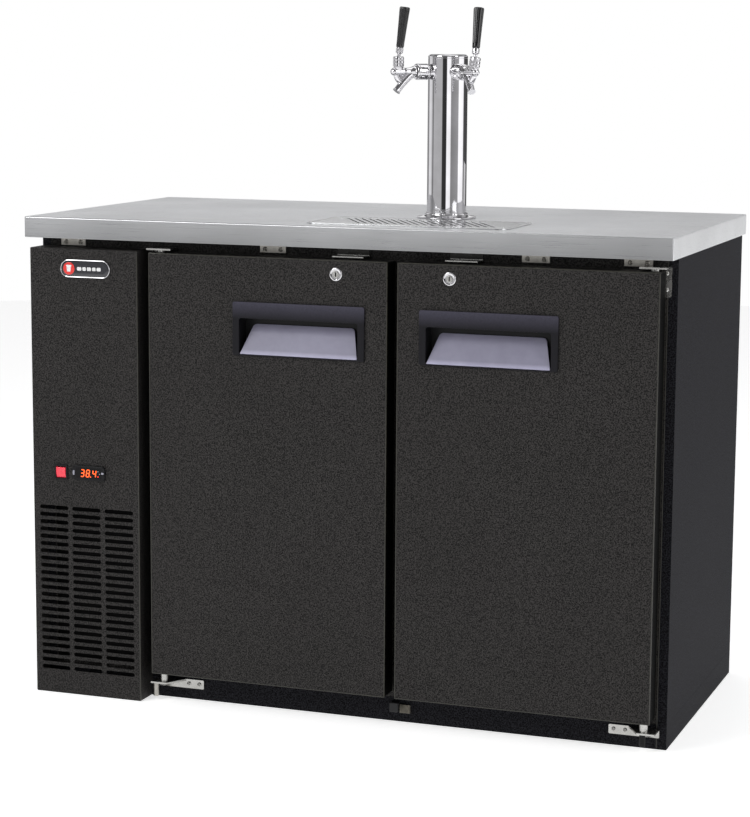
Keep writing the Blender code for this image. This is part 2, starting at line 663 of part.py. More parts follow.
def build_lock(side, hinge, local):
    """A cam lock: its barrel, the turning plug with its cam pin, and the bolt that it lifts."""
    lock_x, lock_z = lock_place(side)
    face = shift(lock_x, FRONT_Y, lock_z) @ Matrix.Rotation(-math.pi / 2, 4, "X")
    bore = PLUG_RADIUS + CLEAR
    barrel = turn([(bore, -0.0022), (0.0112, -0.0022), (0.0120, -0.0014), (0.0120, -CLEAR),
                   (LOCK_RADIUS, -CLEAR), (LOCK_RADIUS, LOCK_DEPTH - 0.0045),
                   (bore, LOCK_DEPTH - 0.0045)], ring=True)
    add(side + "_lock_barrel", placed(barrel, local @ face), "polished", hinge)

    plug = turn([(PLUG_RADIUS, -0.0026), (PLUG_RADIUS, LOCK_DEPTH - 0.004),
                 (CAM_RADIUS, LOCK_DEPTH - 0.004), (CAM_RADIUS, LOCK_DEPTH - 0.001)])
    core = add(side + "_lock_plug", plug, "polished", hinge, local @ face)
    key = [box(-0.0009, -0.0042, -0.004, 0.0009, 0.0042, 0.006)]
    crank = turn([(0.0015, LOCK_DEPTH - 0.002), (0.0015, BOLT_PLANE + BOLT_THICKNESS - 0.0005)], 16)
    # The plug's own Y points down, so the pin starts below the axis and rises with the turn.
    throw = CAM_THROW * math.sqrt(0.5)
    shape(core, "UNION", [placed(crank, shift(throw, throw))])
    shape(core, "DIFFERENCE", key)

    x0 = lock_x + CLEAR
    x1 = lock_x + BOLT_WIDTH
    y0 = FRONT_Y + BOLT_PLANE
    low, high = lock_z - 0.0088, DOOR_TOP - 0.0005
    pin_z = lock_z - throw
    window = rounded(lock_x + throw - 0.0028, pin_z - 0.0024, lock_x + throw + 0.0042,
                     pin_z + 0.0024, 0.0015, 2)
    plate = front_plate(rectangle(x0, low, x1, high), y0, y0 + BOLT_THICKNESS, [window])
    add(side + "_lock_bolt", placed(plate, local), "zinc", hinge)


def build_hinges(side):
    """Top and bottom brackets on the front frame, each with the pin that carries the door."""
    way = 1 if side == "left" else -1          # from the hinge towards the free edge
    x, y = pivot_x(side), PIVOT_Y
    back, sheet = FACE_Y - CLEAR, 0.0025
    arm_front = y - 0.013

    arm_low, arm_high = DOOR_TOP + 0.0045, DOOR_TOP + 0.0075
    # The arm is notched at the back, where the nearest top clip stands.
    notch = back - 0.006
    arm = [(x - way * 0.024, back), (x - way * 0.024, arm_front), (x + way * 0.024, arm_front),
           (x + way * 0.024, notch), (x + way * 0.008, notch), (x + way * 0.008, back)]
    upper = add(side + "_upper_hinge", prism(arm, arm_low, arm_high), "stainless")
    edges = sorted((x - way * 0.006, x - way * 0.024))
    flange = rounded(edges[0], DOOR_TOP - 0.046, edges[1], arm_high, 0.003)
    pin = turn([(PIN_RADIUS, DOOR_TOP - PIN_GRIP), (PIN_RADIUS, arm_high - 0.001)], 20)
    washer = turn([(0.0075, DOOR_TOP + CLEAR), (0.0075, arm_high - 0.001)], 20)
    shape(upper, "UNION", [front_plate(flange, back - sheet, back),
                           placed(pin, shift(x, y)), placed(washer, shift(x, y))])

    plate_low, plate_high = DOOR_BOTTOM - 0.036, DOOR_BOTTOM - 0.019
    edges = sorted((x - way * 0.022, x + way * 0.069))
    strap = front_plate(rounded(edges[0], plate_low, edges[1], plate_high, 0.002),
                        back - sheet, back)
    lower = add(side + "_lower_hinge", strap, "stainless")
    arm = [(x - way * 0.022, back - 0.001), (x - way * 0.022, arm_front),
           (x + way * 0.010, arm_front), (x + way * 0.034, back - 0.001)]
    pin = turn([(PIN_RADIUS, plate_high - 0.002), (PIN_RADIUS, DOOR_BOTTOM + PIN_GRIP)], 20)
    washer = turn([(0.0075, plate_high - 0.002), (0.0075, DOOR_BOTTOM - CLEAR)], 20)
    shape(lower, "UNION", [prism(arm, plate_high - 0.003, plate_high),
                           placed(pin, shift(x, y)), placed(washer, shift(x, y))])


def build_strike(side):
    """The angle plate above a door whose window takes the lock's bolt."""
    lock_x, _ = lock_place(side)
    middle = lock_x + 0.0145
    back, sheet = FACE_Y - CLEAR, 0.002
    bolt_y = FRONT_Y + BOLT_PLANE + BOLT_THICKNESS / 2
    low = DOOR_TOP + 0.0035
    window = rectangle(lock_x - 0.0025, bolt_y - 0.0045,
                       lock_x + BOLT_WIDTH + 0.0025, bolt_y + 0.0045)
    shelf = prism(rounded(middle - 0.030, bolt_y - 0.011, middle + 0.030, back, 0.002),
                  low, low + sheet, [window])
    strike = add(side + "_strike_plate", shelf, "stainless")
    upright = box(middle - 0.030, back - sheet, low, middle + 0.030, back, low + 0.016)
    shape(strike, "UNION", [upright])


# ---- machine compartment -----------------------------------------------------------------
def control_window(place, size, grow=0.0):
    """A rectangular hole in the grille panel, behind a control's bezel."""
    x, z = GRILLE_MIDDLE + place[0], place[1]
    w, h = size[0] / 2 - CONTROL_LIP + grow, size[1] / 2 - CONTROL_LIP + grow
    return rectangle(x - w, z - h, x + w, z + h)


def build_grille_panel():
    """The removable cover in front of the machine compartment, with its rows of slots."""
    top = TOP_Z - GRILLE_TOP_GAP
    outer = rounded(-BODY_X, 0.0, GRILLE_X, top, 0.0015, 2)
    inner = rectangle(-BODY_X + SHEET, SHEET, GRILLE_X - SHEET, top - SHEET)
    slots = [turned_slot(GRILLE_MIDDLE + column * LOUVRE_COLUMN, LOUVRE_LOW + row * LOUVRE_PITCH,
                         LOUVRE_WIDTH, LOUVRE_HEIGHT, 0)
             for column in (-1, 0, 1) for row in range(LOUVRE_ROWS)]
    windows = [control_window(SWITCH_PLACE, SWITCH_SIZE, CLEAR),
               control_window(DISPLAY_PLACE, DISPLAY_SIZE, CLEAR)]
    # The tray's floor is the panel's face, so it is built face down and turned to the back.
    back_turn = Matrix(((-1, 0, 0, 0), (0, 0, 1, 0), (0, 1, 0, 0), (0, 0, 0, 1)))
    mirror = [[(-x, z) for x, z in loop][::-1] for loop in (outer, inner, *slots, *windows)]
    tray = pan(mirror[0], mirror[1], FRONT_Y, FRONT_Y + SHEET, FACE_Y - CLEAR, mirror[2:])
    add("grille_panel", placed(tray, back_turn), "black_steel")


def build_switch():
    """Snap-in frame and the rocker that tips in it."""
    x, z = GRILLE_MIDDLE + SWITCH_PLACE[0], SWITCH_PLACE[1]
    w, h = SWITCH_SIZE[0] / 2, SWITCH_SIZE[1] / 2
    front, skin = FRONT_Y - 0.002, FRONT_Y - CLEAR
    half_w, half_h = ROCKER_HALF[0] + 0.0004, ROCKER_HALF[1] + 0.0014
    hole = rectangle(x - half_w, z - half_h, x + half_w, z + half_h)
    frame = add("switch_frame", front_plate(rounded(x - w, z - h, x + w, z + h, 0.002), front,
                                            skin, [hole]), "black_plastic")
    body = front_plate(control_window(SWITCH_PLACE, SWITCH_SIZE), skin - 0.001,
                       FRONT_Y + CONTROL_BODY)
    well = box(x - half_w, front - 0.01, z - half_h, x + half_w, FRONT_Y + 0.012, z + half_h)
    shape(frame, "UNION", [body])
    stub = turn([(AXLE_RADIUS + CLEAR, -half_w - 0.0007), (AXLE_RADIUS + CLEAR, half_w + 0.0007)], 12)
    pivot = shift(x, FRONT_Y + ROCKER_PIVOT, z)
    across = Matrix.Rotation(math.pi / 2, 4, "Y")
    shape(frame, "DIFFERENCE", [well, placed(stub, pivot @ across)])

    hinge = frame_at("rocker_frame", pivot)
    # Side view about the pivot: a shallow V whose lower half is pressed in when it is on.
    wide, reach = ROCKER_HALF
    profile = [(-0.0050, -reach), (-0.0062, 0.0), (-0.0050, reach), (0.0006, reach - 0.0015),
               (0.0026, 0.003), (0.0026, -0.003), (0.0006, -reach + 0.0015)]
    key = add("power_rocker", side_plate(profile, -wide, wide), "rocker_red", hinge,
              Matrix.Rotation(math.radians(ROCKER_TIP), 4, "X"))
    axle = turn([(AXLE_RADIUS, -wide - 0.0009), (AXLE_RADIUS, wide + 0.0009)], 12)
    shape(key, "UNION", [placed(axle, across)])


def build_controller():
    """Thermostat case with its display face, and two keys that press in."""
    x, z = GRILLE_MIDDLE + DISPLAY_PLACE[0], DISPLAY_PLACE[1]
    w, h = DISPLAY_SIZE[0] / 2, DISPLAY_SIZE[1] / 2
    skin = FRONT_Y - CLEAR
    face = soft_box(x - w, z - h, -skin, x + w, z + h, -skin + 0.0035, 0.006, 0.0012)
    case = add("controller_case", placed(face, FRONT), "black_plastic")
    body = front_plate(control_window(DISPLAY_PLACE, DISPLAY_SIZE), skin - 0.001,
                       FRONT_Y + CONTROL_BODY + 0.02)
    shape(case, "UNION", [body])
    wells, front = [], skin - 0.0035
    for name, (dx, dz, half_w, half_h) in KEY_SIZES.items():
        cx, cz = x + dx, z + dz
        cap = front_plate(rounded(cx - half_w, cz - half_h, cx + half_w, cz + half_h,
                                  min(half_w, half_h) * 0.9), front - KEY_STROKE - 0.0004,
                          front + 0.0015)
        add(name, cap, "zinc")
        g = CLEAR
        wells.append(front_plate(rounded(cx - half_w - g, cz - half_h - g, cx + half_w + g,
                                         cz + half_h + g, min(half_w, half_h) * 0.9),
                                 front - 0.01, front + 0.0015 + KEY_STROKE + g))
    shape(case, "DIFFERENCE", wells)


def comb(width, depth, fins, fin, spine):
    """A finned block in plan: fins along +Y from one spine, as one zigzag outline."""
    pitch = (width - fin) / (fins - 1)
    outline = [(0, 0), (width, 0)]
    for i in reversed(range(fins)):
        x = i * pitch
        outline += [(x + fin, depth), (x, depth)]
        if i:
            outline += [(x, spine), (x - pitch + fin, spine)]
    return outline


def build_condenser():
    """Finned condenser behind the slots, its shroud, fan and motor."""
    x0, x1, y0 = COIL_X0, COIL_X1, COIL_Y
    floor = FACE_SHEET + CLEAR
    fins = prism(comb(x1 - x0, COIL_DEPTH, 21, 0.0022, 0.006), floor, COIL_TOP)
    add("condenser_coil", placed(fins, shift(x0, y0)), "fins")

    mid = (x0 + x1) / 2
    front, back = y0 + COIL_DEPTH + CLEAR, y0 + COIL_DEPTH + SHROUD_DEPTH
    outer = rectangle(x0, floor, x1, COIL_TOP)
    inner = rectangle(x0 + SHEET, floor + SHEET, x1 - SHEET, COIL_TOP - SHEET)
    hole = circle(mid, FAN_Z, FAN_RADIUS + 0.006, 40)
    add("fan_shroud", placed(pan(outer, inner, -back, -back + SHEET, -front, [hole]), FRONT),
        "black_steel")

    axis = shift(mid, back, FAN_Z) @ Matrix.Rotation(-math.pi / 2, 4, "X")
    motor = turn([(FAN_SHAFT, -0.012), (FAN_SHAFT, 0.0005), (0.016, 0.0005), (0.030, 0.008),
                  (0.030, 0.045), (0.022, 0.052)])
    fan_motor = add("fan_motor", placed(motor, axis), "compressor_black")
    reach = mid - x0 - 0.003
    bar = placed(box(-reach, -0.009, CLEAR, reach, 0.009, 0.0035), axis)
    shape(fan_motor, "UNION", [bar])
    build_fan("condenser_fan", axis @ shift(z=-0.0150), FAN_RADIUS, 0.017, FAN_SHAFT + CLEAR, 5)


def build_fan(name, place, radius, hub_radius, shaft, blades):
    """A hub with a shaft bore and pitched blades, turning about its own Z."""
    hub = turn([(hub_radius * 0.8, -0.007), (hub_radius, -0.004), (hub_radius, 0.0085)], 24)
    fan = add(name, hub, "black_plastic", None, place)
    solids = []
    for number in range(blades):
        blade = box(hub_radius * 0.6, -radius * 0.30, -0.0008, radius * 0.98, radius * 0.30, 0.0008)
        pitch = Matrix.Rotation(math.radians(22), 4, "X")
        spin = Matrix.Rotation(2 * math.pi * number / blades, 4, "Z")
        solids.append(placed(blade, spin @ pitch))
    shape(fan, "UNION", solids)
    bore = turn([(shaft + CLEAR / 2, 0.0015), (shaft + CLEAR / 2, 0.02)], 16)
    shape(fan, "DIFFERENCE", [bore])


def build_compressor():
    """Hermetic compressor on its foot plate and four grommets."""
    x, r = GRILLE_MIDDLE, COMPRESSOR_RADIUS
    dome = turn([(r * 0.62, 0.012), (r * 0.93, 0.030), (r, 0.050), (r, 0.118), (r * 1.03, 0.121),
                 (r * 1.03, 0.127), (r, 0.130), (r * 0.96, 0.160), (r * 0.78, 0.184),
                 (r * 0.40, 0.197)], 24)
    place = shift(x, COMPRESSOR_Y, FACE_SHEET)
    shell = add("compressor", placed(dome, place), "compressor_black")
    plate = box(-0.080, -0.095, 0.014, 0.080, 0.095, 0.018)
    feet = [placed(turn([(0.011, CLEAR), (0.009, 0.0145)], 10), shift(sx * 0.066, sy * 0.081))
            for sx in (-1, 1) for sy in (-1, 1)]
    terminal = box(-0.025, -r - 0.022, 0.070, 0.025, -r * 0.8, 0.115)
    stub = placed(turn([(0.007, 0.0), (0.007, 0.022)], 16), shift(0.030, 0, 0.180))
    shape(shell, "UNION", [placed(s, place) for s in (plate, *feet, terminal, stub)])


def build_refrigerant_line():
    """Suction line from the compressor, up the compartment and through the partition."""
    start = Vector((GRILLE_MIDDLE + 0.030, COMPRESSOR_Y, FACE_SHEET + 0.202 + CLEAR))
    knots = [start, start + Vector((0, 0, 0.06)),
             Vector((start.x, start.y, LINE_Z - 0.08)),
             Vector((start.x + 0.008, LINE_Y, LINE_Z - 0.01)),
             Vector((start.x + 0.045, LINE_Y, LINE_Z)),
             Vector((FOAM_X0 - 0.01, LINE_Y, LINE_Z)),
             Vector((CAVITY_X0 + 0.0045, LINE_Y, LINE_Z))]
    points = []
    for i in range(len(knots) - 1):
        before, after = knots[max(i - 1, 0)], knots[min(i + 2, len(knots) - 1)]
        a, b = knots[i], knots[i + 1]
        for step in range(4):
            t = step / 4
            # Catmull-Rom: a smooth curve through the knots.
            points.append(0.5 * (2 * a + (b - before) * t
                                 + (2 * before - 5 * a + 4 * b - after) * t * t
                                 + (3 * a - before - 3 * b + after) * t ** 3))
    points.append(knots[-1])
    curve = bpy.data.curves.new("refrigerant_line", "CURVE")
    curve.dimensions = "3D"
    curve.bevel_depth = LINE_RADIUS
    curve.bevel_resolution = 1
    curve.use_fill_caps = True
    spline = curve.splines.new("POLY")
    spline.points.add(len(points) - 1)
    for point, place in zip(spline.points, points):
        point.co = (*place, 1.0)
    line = bpy.data.objects.new("refrigerant_line", curve)
    line.data.materials.append(make_material("refrigerant_line", "copper"))
    bpy.context.scene.collection.objects.link(line)


def build_evaporator():
    """Finned evaporator on the cold room's partition, under a cover with its fan."""
    wall_x = CAVITY_X0 + LINER_STEP + CLEAR
    y0, y1 = EVAP_Y
    z0, z1 = EVAP_Z
    face_x = wall_x + EVAP_DEPTH
    slots = [turned_slot((y0 + y1) / 2, z0 + 0.165 + 0.018 * row, 0.160, 0.008, 0)
             for row in range(6)]
    intake = circle(*EVAP_FAN, EVAP_FAN_RADIUS + 0.003, 40)
    # Built with its face down and turned over, so that its rim meets the partition.
    loops = [rounded(y0, z0, y1, z1, 0.008), rounded(y0 + SHEET, z0 + SHEET, y1 - SHEET,
                                                     z1 - SHEET, 0.0065), intake, *slots]
    mirror = [[(-y, z) for y, z in loop][::-1] for loop in loops]
    cover_turn = Matrix(((0, 0, -1, 0), (-1, 0, 0, 0), (0, 1, 0, 0), (0, 0, 0, 1)))
    shell = pan(mirror[0], mirror[1], -face_x, -face_x + SHEET, -wall_x, mirror[2:])
    cover = add("evaporator_cover", placed(shell, cover_turn), "liner_steel")
    fy, fz = EVAP_FAN
    reach = EVAP_FAN_RADIUS + 0.008
    inner = face_x - SHEET
    bars = [box(inner - 0.004, fy - reach, fz - 0.003, inner + 0.0005, fy + reach, fz + 0.003),
            box(inner - 0.004, fy - 0.003, fz - reach, inner + 0.0005, fy + 0.003, fz + reach)]
    pin_place = shift(inner - 0.003, fy, fz) @ Matrix.Rotation(-math.pi / 2, 4, "Y")
    pin = placed(turn([(EVAP_PIN, 0.0), (EVAP_PIN, 0.016)], 16), pin_place)
    shape(cover, "UNION", [*bars, pin])
    build_fan("evaporator_fan", pin_place @ shift(z=0.0180) @ Matrix.Rotation(math.pi, 4, "X"),
              EVAP_FAN_RADIUS, 0.012, EVAP_PIN + CLEAR, 5)

    depth, length = 0.030, y1 - y0 - 0.055
    fins = prism(comb(length, depth, 18, 0.002, 0.005), z0 + 0.020, z1 - 0.020)
    turned = shift(wall_x, y0 + 0.027 + length) @ Matrix.Rotation(-math.pi / 2, 4, "Z")
    coil = add("evaporator_coil", placed(fins, turned), "fins")
    pocket = placed(turn([(LINE_RADIUS + 0.001, -0.01), (LINE_RADIUS + 0.001, 0.012)], 16),
                    shift(wall_x, LINE_Y, LINE_Z) @ Matrix.Rotation(math.pi / 2, 4, "Y"))
    shape(coil, "DIFFERENCE", [pocket])


# ---- worktop fittings --------------------------------------------------------------------
def build_drip_tray():
    """Stainless pan let into the worktop, and the slotted grate that lifts out of it."""
    x0, x1 = TOWER_X - TRAY_WIDTH / 2, TOWER_X + TRAY_WIDTH / 2
    y0, y1 = TRAY_Y - TRAY_DEPTH / 2, TRAY_Y + TRAY_DEPTH / 2
    seat = COUNTER_HEIGHT + CLEAR
    top = seat + TRAY_PROUD
    ledge = top - GRATE_SHEET - CLEAR

    def loop(inset, z):
        outline = rounded(x0 + inset, y0 + inset, x1 - inset, y1 - inset,
                          TRAY_CORNER - inset * 0.5)
        return [(x, y, z) for x, y in outline]

    bowl = TRAY_LIP + 2 * CLEAR
    floor = COUNTER_HEIGHT - TRAY_BOWL
    wall_in = bowl + TRAY_SHEET
    step = wall_in + 0.003
    rows = [loop(bowl, floor), loop(bowl, seat), loop(0.0, seat), loop(0.0, top - 0.0006),
            loop(0.0006, top), loop(wall_in, top), loop(wall_in, ledge), loop(step, ledge),
            loop(step, floor + TRAY_SHEET)]
    add("drip_pan", loft(rows), "polished")

    fit = wall_in + CLEAR * 1.5
    outline = rounded(x0 + fit, y0 + fit, x1 - fit, y1 - fit, TRAY_CORNER - fit * 0.5)
    length = (y1 - y0 - 2 * GRATE_BORDER) / math.sin(math.radians(GRATE_SLANT))
    lean = length / 2 * abs(math.cos(math.radians(GRATE_SLANT)))
    room = (x1 - x0) / 2 - fit - lean - 0.016
    count = int(2 * room / GRATE_PITCH) + 1
    slots = [turned_slot(TOWER_X + GRATE_PITCH * (i - (count - 1) / 2), TRAY_Y, length, GRATE_SLOT,
                         GRATE_SLANT, 3) for i in range(count)]
    fingers = [circle(TOWER_X + side * ((x1 - x0) / 2 - 0.020),
                      TRAY_Y + row * (TRAY_DEPTH / 2 - 0.037), 0.005, 16)
               for side in (-1, 1) for row in (-1, 1)]
    add("drip_grate", prism(outline, ledge + CLEAR, ledge + CLEAR + GRATE_SHEET,
                            [*slots, *fingers]), "polished")


def build_tower():
    """Draft tower: flange on the worktop, column with two shank holes, and cap."""
    seat, top = COUNTER_HEIGHT + CLEAR, COUNTER_HEIGHT + TOWER_HEIGHT
    hole = COLUMN_RADIUS + CLEAR
    flange = turn([(hole, seat), (FLANGE_RADIUS, seat), (FLANGE_RADIUS, seat + 0.002),
                   (FLANGE_RADIUS - 0.001, seat + 0.003), (COLUMN_RADIUS + 0.0045, seat + 0.0045),
                   (COLUMN_RADIUS + 0.004, seat + 0.009), (COLUMN_RADIUS + 0.003, seat + 0.010),
                   (hole, seat + 0.010)], 40, ring=True)
    place = shift(TOWER_X, TOWER_Y)
    add("tower_flange", placed(flange, place), "polished")
    bore = COLUMN_RADIUS - COLUMN_WALL
    shoulder = top - 0.007
    tube = turn([(bore, seat), (COLUMN_RADIUS, seat), (COLUMN_RADIUS, shoulder - CLEAR),
                 (bore, shoulder - CLEAR)], 48, ring=True)
    column = add("tower_column", placed(tube, place), "polished")
    drill = turn([(SHANK_RADIUS + CLEAR, 0.010), (SHANK_RADIUS + CLEAR, 0.060)], 24)
    shape(column, "DIFFERENCE",
          [placed(drill, place @ faucet_matrix(side) @ Matrix.Rotation(math.pi / 2, 4, "Y"))
           for side in FAUCET_ANGLES])
    rim = COLUMN_RADIUS
    skirt = bore - CLEAR
    cap = turn([(skirt - 0.002, shoulder + 0.002), (skirt - 0.002, shoulder - 0.010),
                (skirt, shoulder - 0.010), (skirt, shoulder), (rim, shoulder),
                (rim, top - 0.003), (rim - 0.001, top - 0.001), (rim - 0.004, top)], 40)
    add("tower_cap", placed(cap, place), "polished")


def faucet_matrix(side):
    """A faucet's frame: +X out along the shank from the column's axis, at the shank's height."""
    out = Matrix.Rotation(math.radians(FAUCET_ANGLES[side]), 4, "Z")
    roll = Matrix.Rotation(math.radians(FAUCET_ROLL[side]), 4, "X")
    return shift(z=SHANK_Z) @ out @ roll


def build_faucet(side):
    """One faucet on its shank: nut, cast body with spout, ball lever and tap handle."""
    frame = frame_at(side + "_faucet_frame", shift(TOWER_X, TOWER_Y) @ faucet_matrix(side))
    along = Matrix.Rotation(math.pi / 2, 4, "Y")
    collar = turn([(0.014, 0.030), (0.014, COLLAR_END - 0.001), (0.013, COLLAR_END)])
    piece = add(side + "_faucet_shank", placed(collar, along), "polished", frame)
    # The collar's back is hollowed to sit on the round column; the threaded part runs inside.
    saddle = turn([(COLUMN_RADIUS + CLEAR, -0.05), (COLUMN_RADIUS + CLEAR, 0.05)], 48)
    thread = turn([(SHANK_RADIUS, 0.014), (SHANK_RADIUS, SHANK_END)])
    bore = turn([(0.004, 0.010), (0.004, SHANK_END + 0.01)])
    upright = Matrix.Rotation(math.radians(-FAUCET_ROLL[side]), 4, "X")
    shape(piece, "DIFFERENCE", [placed(saddle, upright)])
    shape(piece, "UNION", [placed(thread, along)])
    shape(piece, "DIFFERENCE", [placed(bore, along)])

    nut_bore = SHANK_RADIUS + CLEAR
    lip = BARREL_RADIUS + 0.0015
    nut = turn([(nut_bore, COLLAR_END + CLEAR), (0.0133, COLLAR_END + CLEAR),
                (0.0148, COLLAR_END + 0.002), (0.0148, NUT_END - 0.003), (0.0135, NUT_END),
                (lip, NUT_END), (lip, NUT_END - 0.005), (nut_bore, NUT_END - 0.005)], ring=True)
    add(side + "_coupling_nut", placed(nut, along), "polished", frame)

    start = SHANK_END + CLEAR
    barrel = turn([(nut_bore - 2 * CLEAR, start), (nut_bore - 2 * CLEAR, NUT_END - 0.0055),
                   (BARREL_RADIUS + 0.001, NUT_END - 0.0055), (BARREL_RADIUS + 0.001, NUT_END + 0.001),
                   (0.0105, NUT_END + 0.002), (0.0105, NUT_END + 0.004),
                   (BARREL_RADIUS, NUT_END + 0.010), (BARREL_RADIUS, LEVER_X + 0.008),
                   (BARREL_RADIUS - 0.0015, LEVER_X + 0.013),
                   (BARREL_RADIUS - 0.005, LEVER_X + 0.0155)])
    body = add(side + "_faucet_body", placed(barrel, along), "polished", frame)
    bonnet = turn([(BONNET_RADIUS - 0.0015, 0.0), (BONNET_RADIUS - 0.0015, 0.009),
                   (BONNET_RADIUS, 0.010), (BONNET_RADIUS, 0.020), (BONNET_RADIUS - 0.0007, 0.021),
                   (BONNET_RADIUS, 0.022), (BONNET_RADIUS - 0.0008, LEVER_LIFT + 0.0035)])
    spout_place = shift(SPOUT_X, 0, -0.003) @ Matrix.Rotation(math.radians(142), 4, "Y")
    spout = placed(turn([(0.0068, -0.002), (0.0068, 0.030), (0.0064, 0.044), (0.0072, 0.0455),
                         (0.0072, 0.048)], 16), spout_place)
    web_outline = [(SPOUT_X - 0.002, -0.002), (LEVER_X + 0.010, -0.004), (LEVER_X + 0.0075, -0.010),
                   (LEVER_X - 0.006, -0.014), (LEVER_X - 0.010, -0.020),
                   (LEVER_X - 0.012, -0.028)]
    web = placed(prism(web_outline, -0.0035, 0.0035), FRONT)
    shape(body, "UNION", [placed(bonnet, shift(LEVER_X)), web, spout])
    seat = BALL_RADIUS + 2 * CLEAR
    steps = [math.radians(-80 + 20 * i) for i in range(5)]
    socket = [(seat * math.cos(a), LEVER_LIFT + seat * math.sin(a)) for a in steps]
    socket += [(0.0085, LEVER_LIFT + 0.0036), (0.0085, LEVER_LIFT + 0.010)]
    mouth = placed(turn([(0.0050, 0.036), (0.0050, 0.060)], 14), spout_place)
    beer = placed(turn([(0.004, 0.030), (0.004, NUT_END + 0.010)], 12), along)
    shape(body, "DIFFERENCE", [placed(turn(socket), shift(LEVER_X)), mouth, beer])
    build_lever(side, frame)


def build_lever(side, frame):
    """Ball, stem and ferrule in one lever, with its handle screwed on, about the ball."""
    lean = shift(LEVER_X, 0, LEVER_LIFT) @ Matrix.Rotation(math.radians(-LEVER_LEAN), 4, "Y")
    hinge = frame_at(side + "_lever_frame", lean, frame)
    stem, ferrule, thread = STEM_RADIUS, FERRULE_RADIUS, THREAD_RADIUS
    arc = [math.radians(-80 + 23 * i) for i in range(7)]
    ball = [(BALL_RADIUS * math.cos(a), BALL_RADIUS * math.sin(a)) for a in arc
            if BALL_RADIUS * math.cos(a) > stem or a < 0]
    lever = turn(ball + [(stem, 0.0049), (ferrule - 0.001, 0.0092), (ferrule, 0.0100),
                         (ferrule, 0.0185), (ferrule - 0.0005, 0.0192), (thread, 0.0192),
                         (thread, 0.0320)], 16)
    add(side + "_faucet_lever", lever, "polished", hinge)

    loops = []
    for radius, z in ((0.0064, 0.0197), (0.0070, 0.0205), (0.0080, 0.048), (0.0092, 0.078),
                      (0.0097, 0.090), (0.0088, 0.0930)):
        ring = []
        for i in range(16):
            a = 2 * math.pi * i / 16
            flute = 0.94 + 0.06 * math.cos(8 * a)
            ring.append((radius * flute * math.cos(a), radius * flute * math.sin(a), z))
        loops.append(ring)
    grip = add(side + "_tap_handle", loft(loops), "tap_black", hinge)
    bore = turn([(thread + CLEAR, 0.010), (thread + CLEAR, 0.0320 + CLEAR)], 20)
    shape(grip, "DIFFERENCE", [bore])


def main():
    for old in list(bpy.data.objects):
        bpy.data.objects.remove(old, do_unlink=True)
    build_chassis()
    build_side_panels()
    build_back_panel()
    build_front_frame()
    build_insulation()
    build_liner()
    build_worktop()
    build_top_clips()
    for side in DOORS:
        build_door(side)
        build_hinges(side)
        build_strike(side)
    build_grille_panel()
    build_switch()
    build_controller()
    build_condenser()
    build_compressor()
    build_refrigerant_line()
    build_evaporator()
    build_drip_tray()
    build_tower()
    for side in FAUCET_ANGLES:
        build_faucet(side)
    bpy.context.view_layer.update()


main()
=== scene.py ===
"""Looks of a two-door back-bar kegerator: fine surfaces, materials, floor, light and camera.

Laid out as an add-on.  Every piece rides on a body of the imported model, and all places and sizes
start from that model, in metres, +Z up, front towards -Y.
"""

import json
import math

import bpy
import numpy as np
from bpy.props import FloatProperty, FloatVectorProperty, PointerProperty
from mathutils import Matrix, Vector
from mathutils.geometry import delaunay_2d_cdt


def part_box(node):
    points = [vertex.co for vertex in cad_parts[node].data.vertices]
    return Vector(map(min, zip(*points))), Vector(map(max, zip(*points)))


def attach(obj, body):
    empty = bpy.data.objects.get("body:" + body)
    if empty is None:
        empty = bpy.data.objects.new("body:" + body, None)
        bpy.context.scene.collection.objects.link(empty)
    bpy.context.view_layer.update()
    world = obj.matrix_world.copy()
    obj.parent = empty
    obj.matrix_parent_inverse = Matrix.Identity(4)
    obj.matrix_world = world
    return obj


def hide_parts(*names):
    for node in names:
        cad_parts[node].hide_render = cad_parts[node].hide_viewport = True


bl_info = {
    "name": "Back-bar kegerator",
    "version": (1, 0, 0),
    "blender": (4, 5, 0),
    "location": "View3D > Sidebar > Kegerator",
    "description": "Dresses a packed kegerator with fine surfaces, materials and a studio",
    "category": "Add Mesh",
}

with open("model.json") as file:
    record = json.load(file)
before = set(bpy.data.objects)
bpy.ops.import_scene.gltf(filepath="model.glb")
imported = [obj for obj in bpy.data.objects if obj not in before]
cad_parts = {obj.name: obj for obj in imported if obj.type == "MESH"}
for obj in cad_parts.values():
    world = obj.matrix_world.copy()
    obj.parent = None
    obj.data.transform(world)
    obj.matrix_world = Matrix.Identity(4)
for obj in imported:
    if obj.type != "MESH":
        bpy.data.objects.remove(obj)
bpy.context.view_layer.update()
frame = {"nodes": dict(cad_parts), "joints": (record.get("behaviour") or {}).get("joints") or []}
JOINTS = {joint["name"]: joint for joint in frame["joints"]}
SIDES = ("left", "right")


def linear_rgb(code):
    """Linear-light red, green and blue from an sRGB hex code."""
    channels = np.array([int(code[i:i + 2], 16) for i in (0, 2, 4)]) / 255
    low, high = channels / 12.92, ((channels + 0.055) / 1.055) ** 2.4
    return tuple(np.where(channels <= 0.04045, low, high).tolist())


def corners(node):
    """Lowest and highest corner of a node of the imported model, as arrays."""
    low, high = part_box(node)
    return np.array(low), np.array(high)


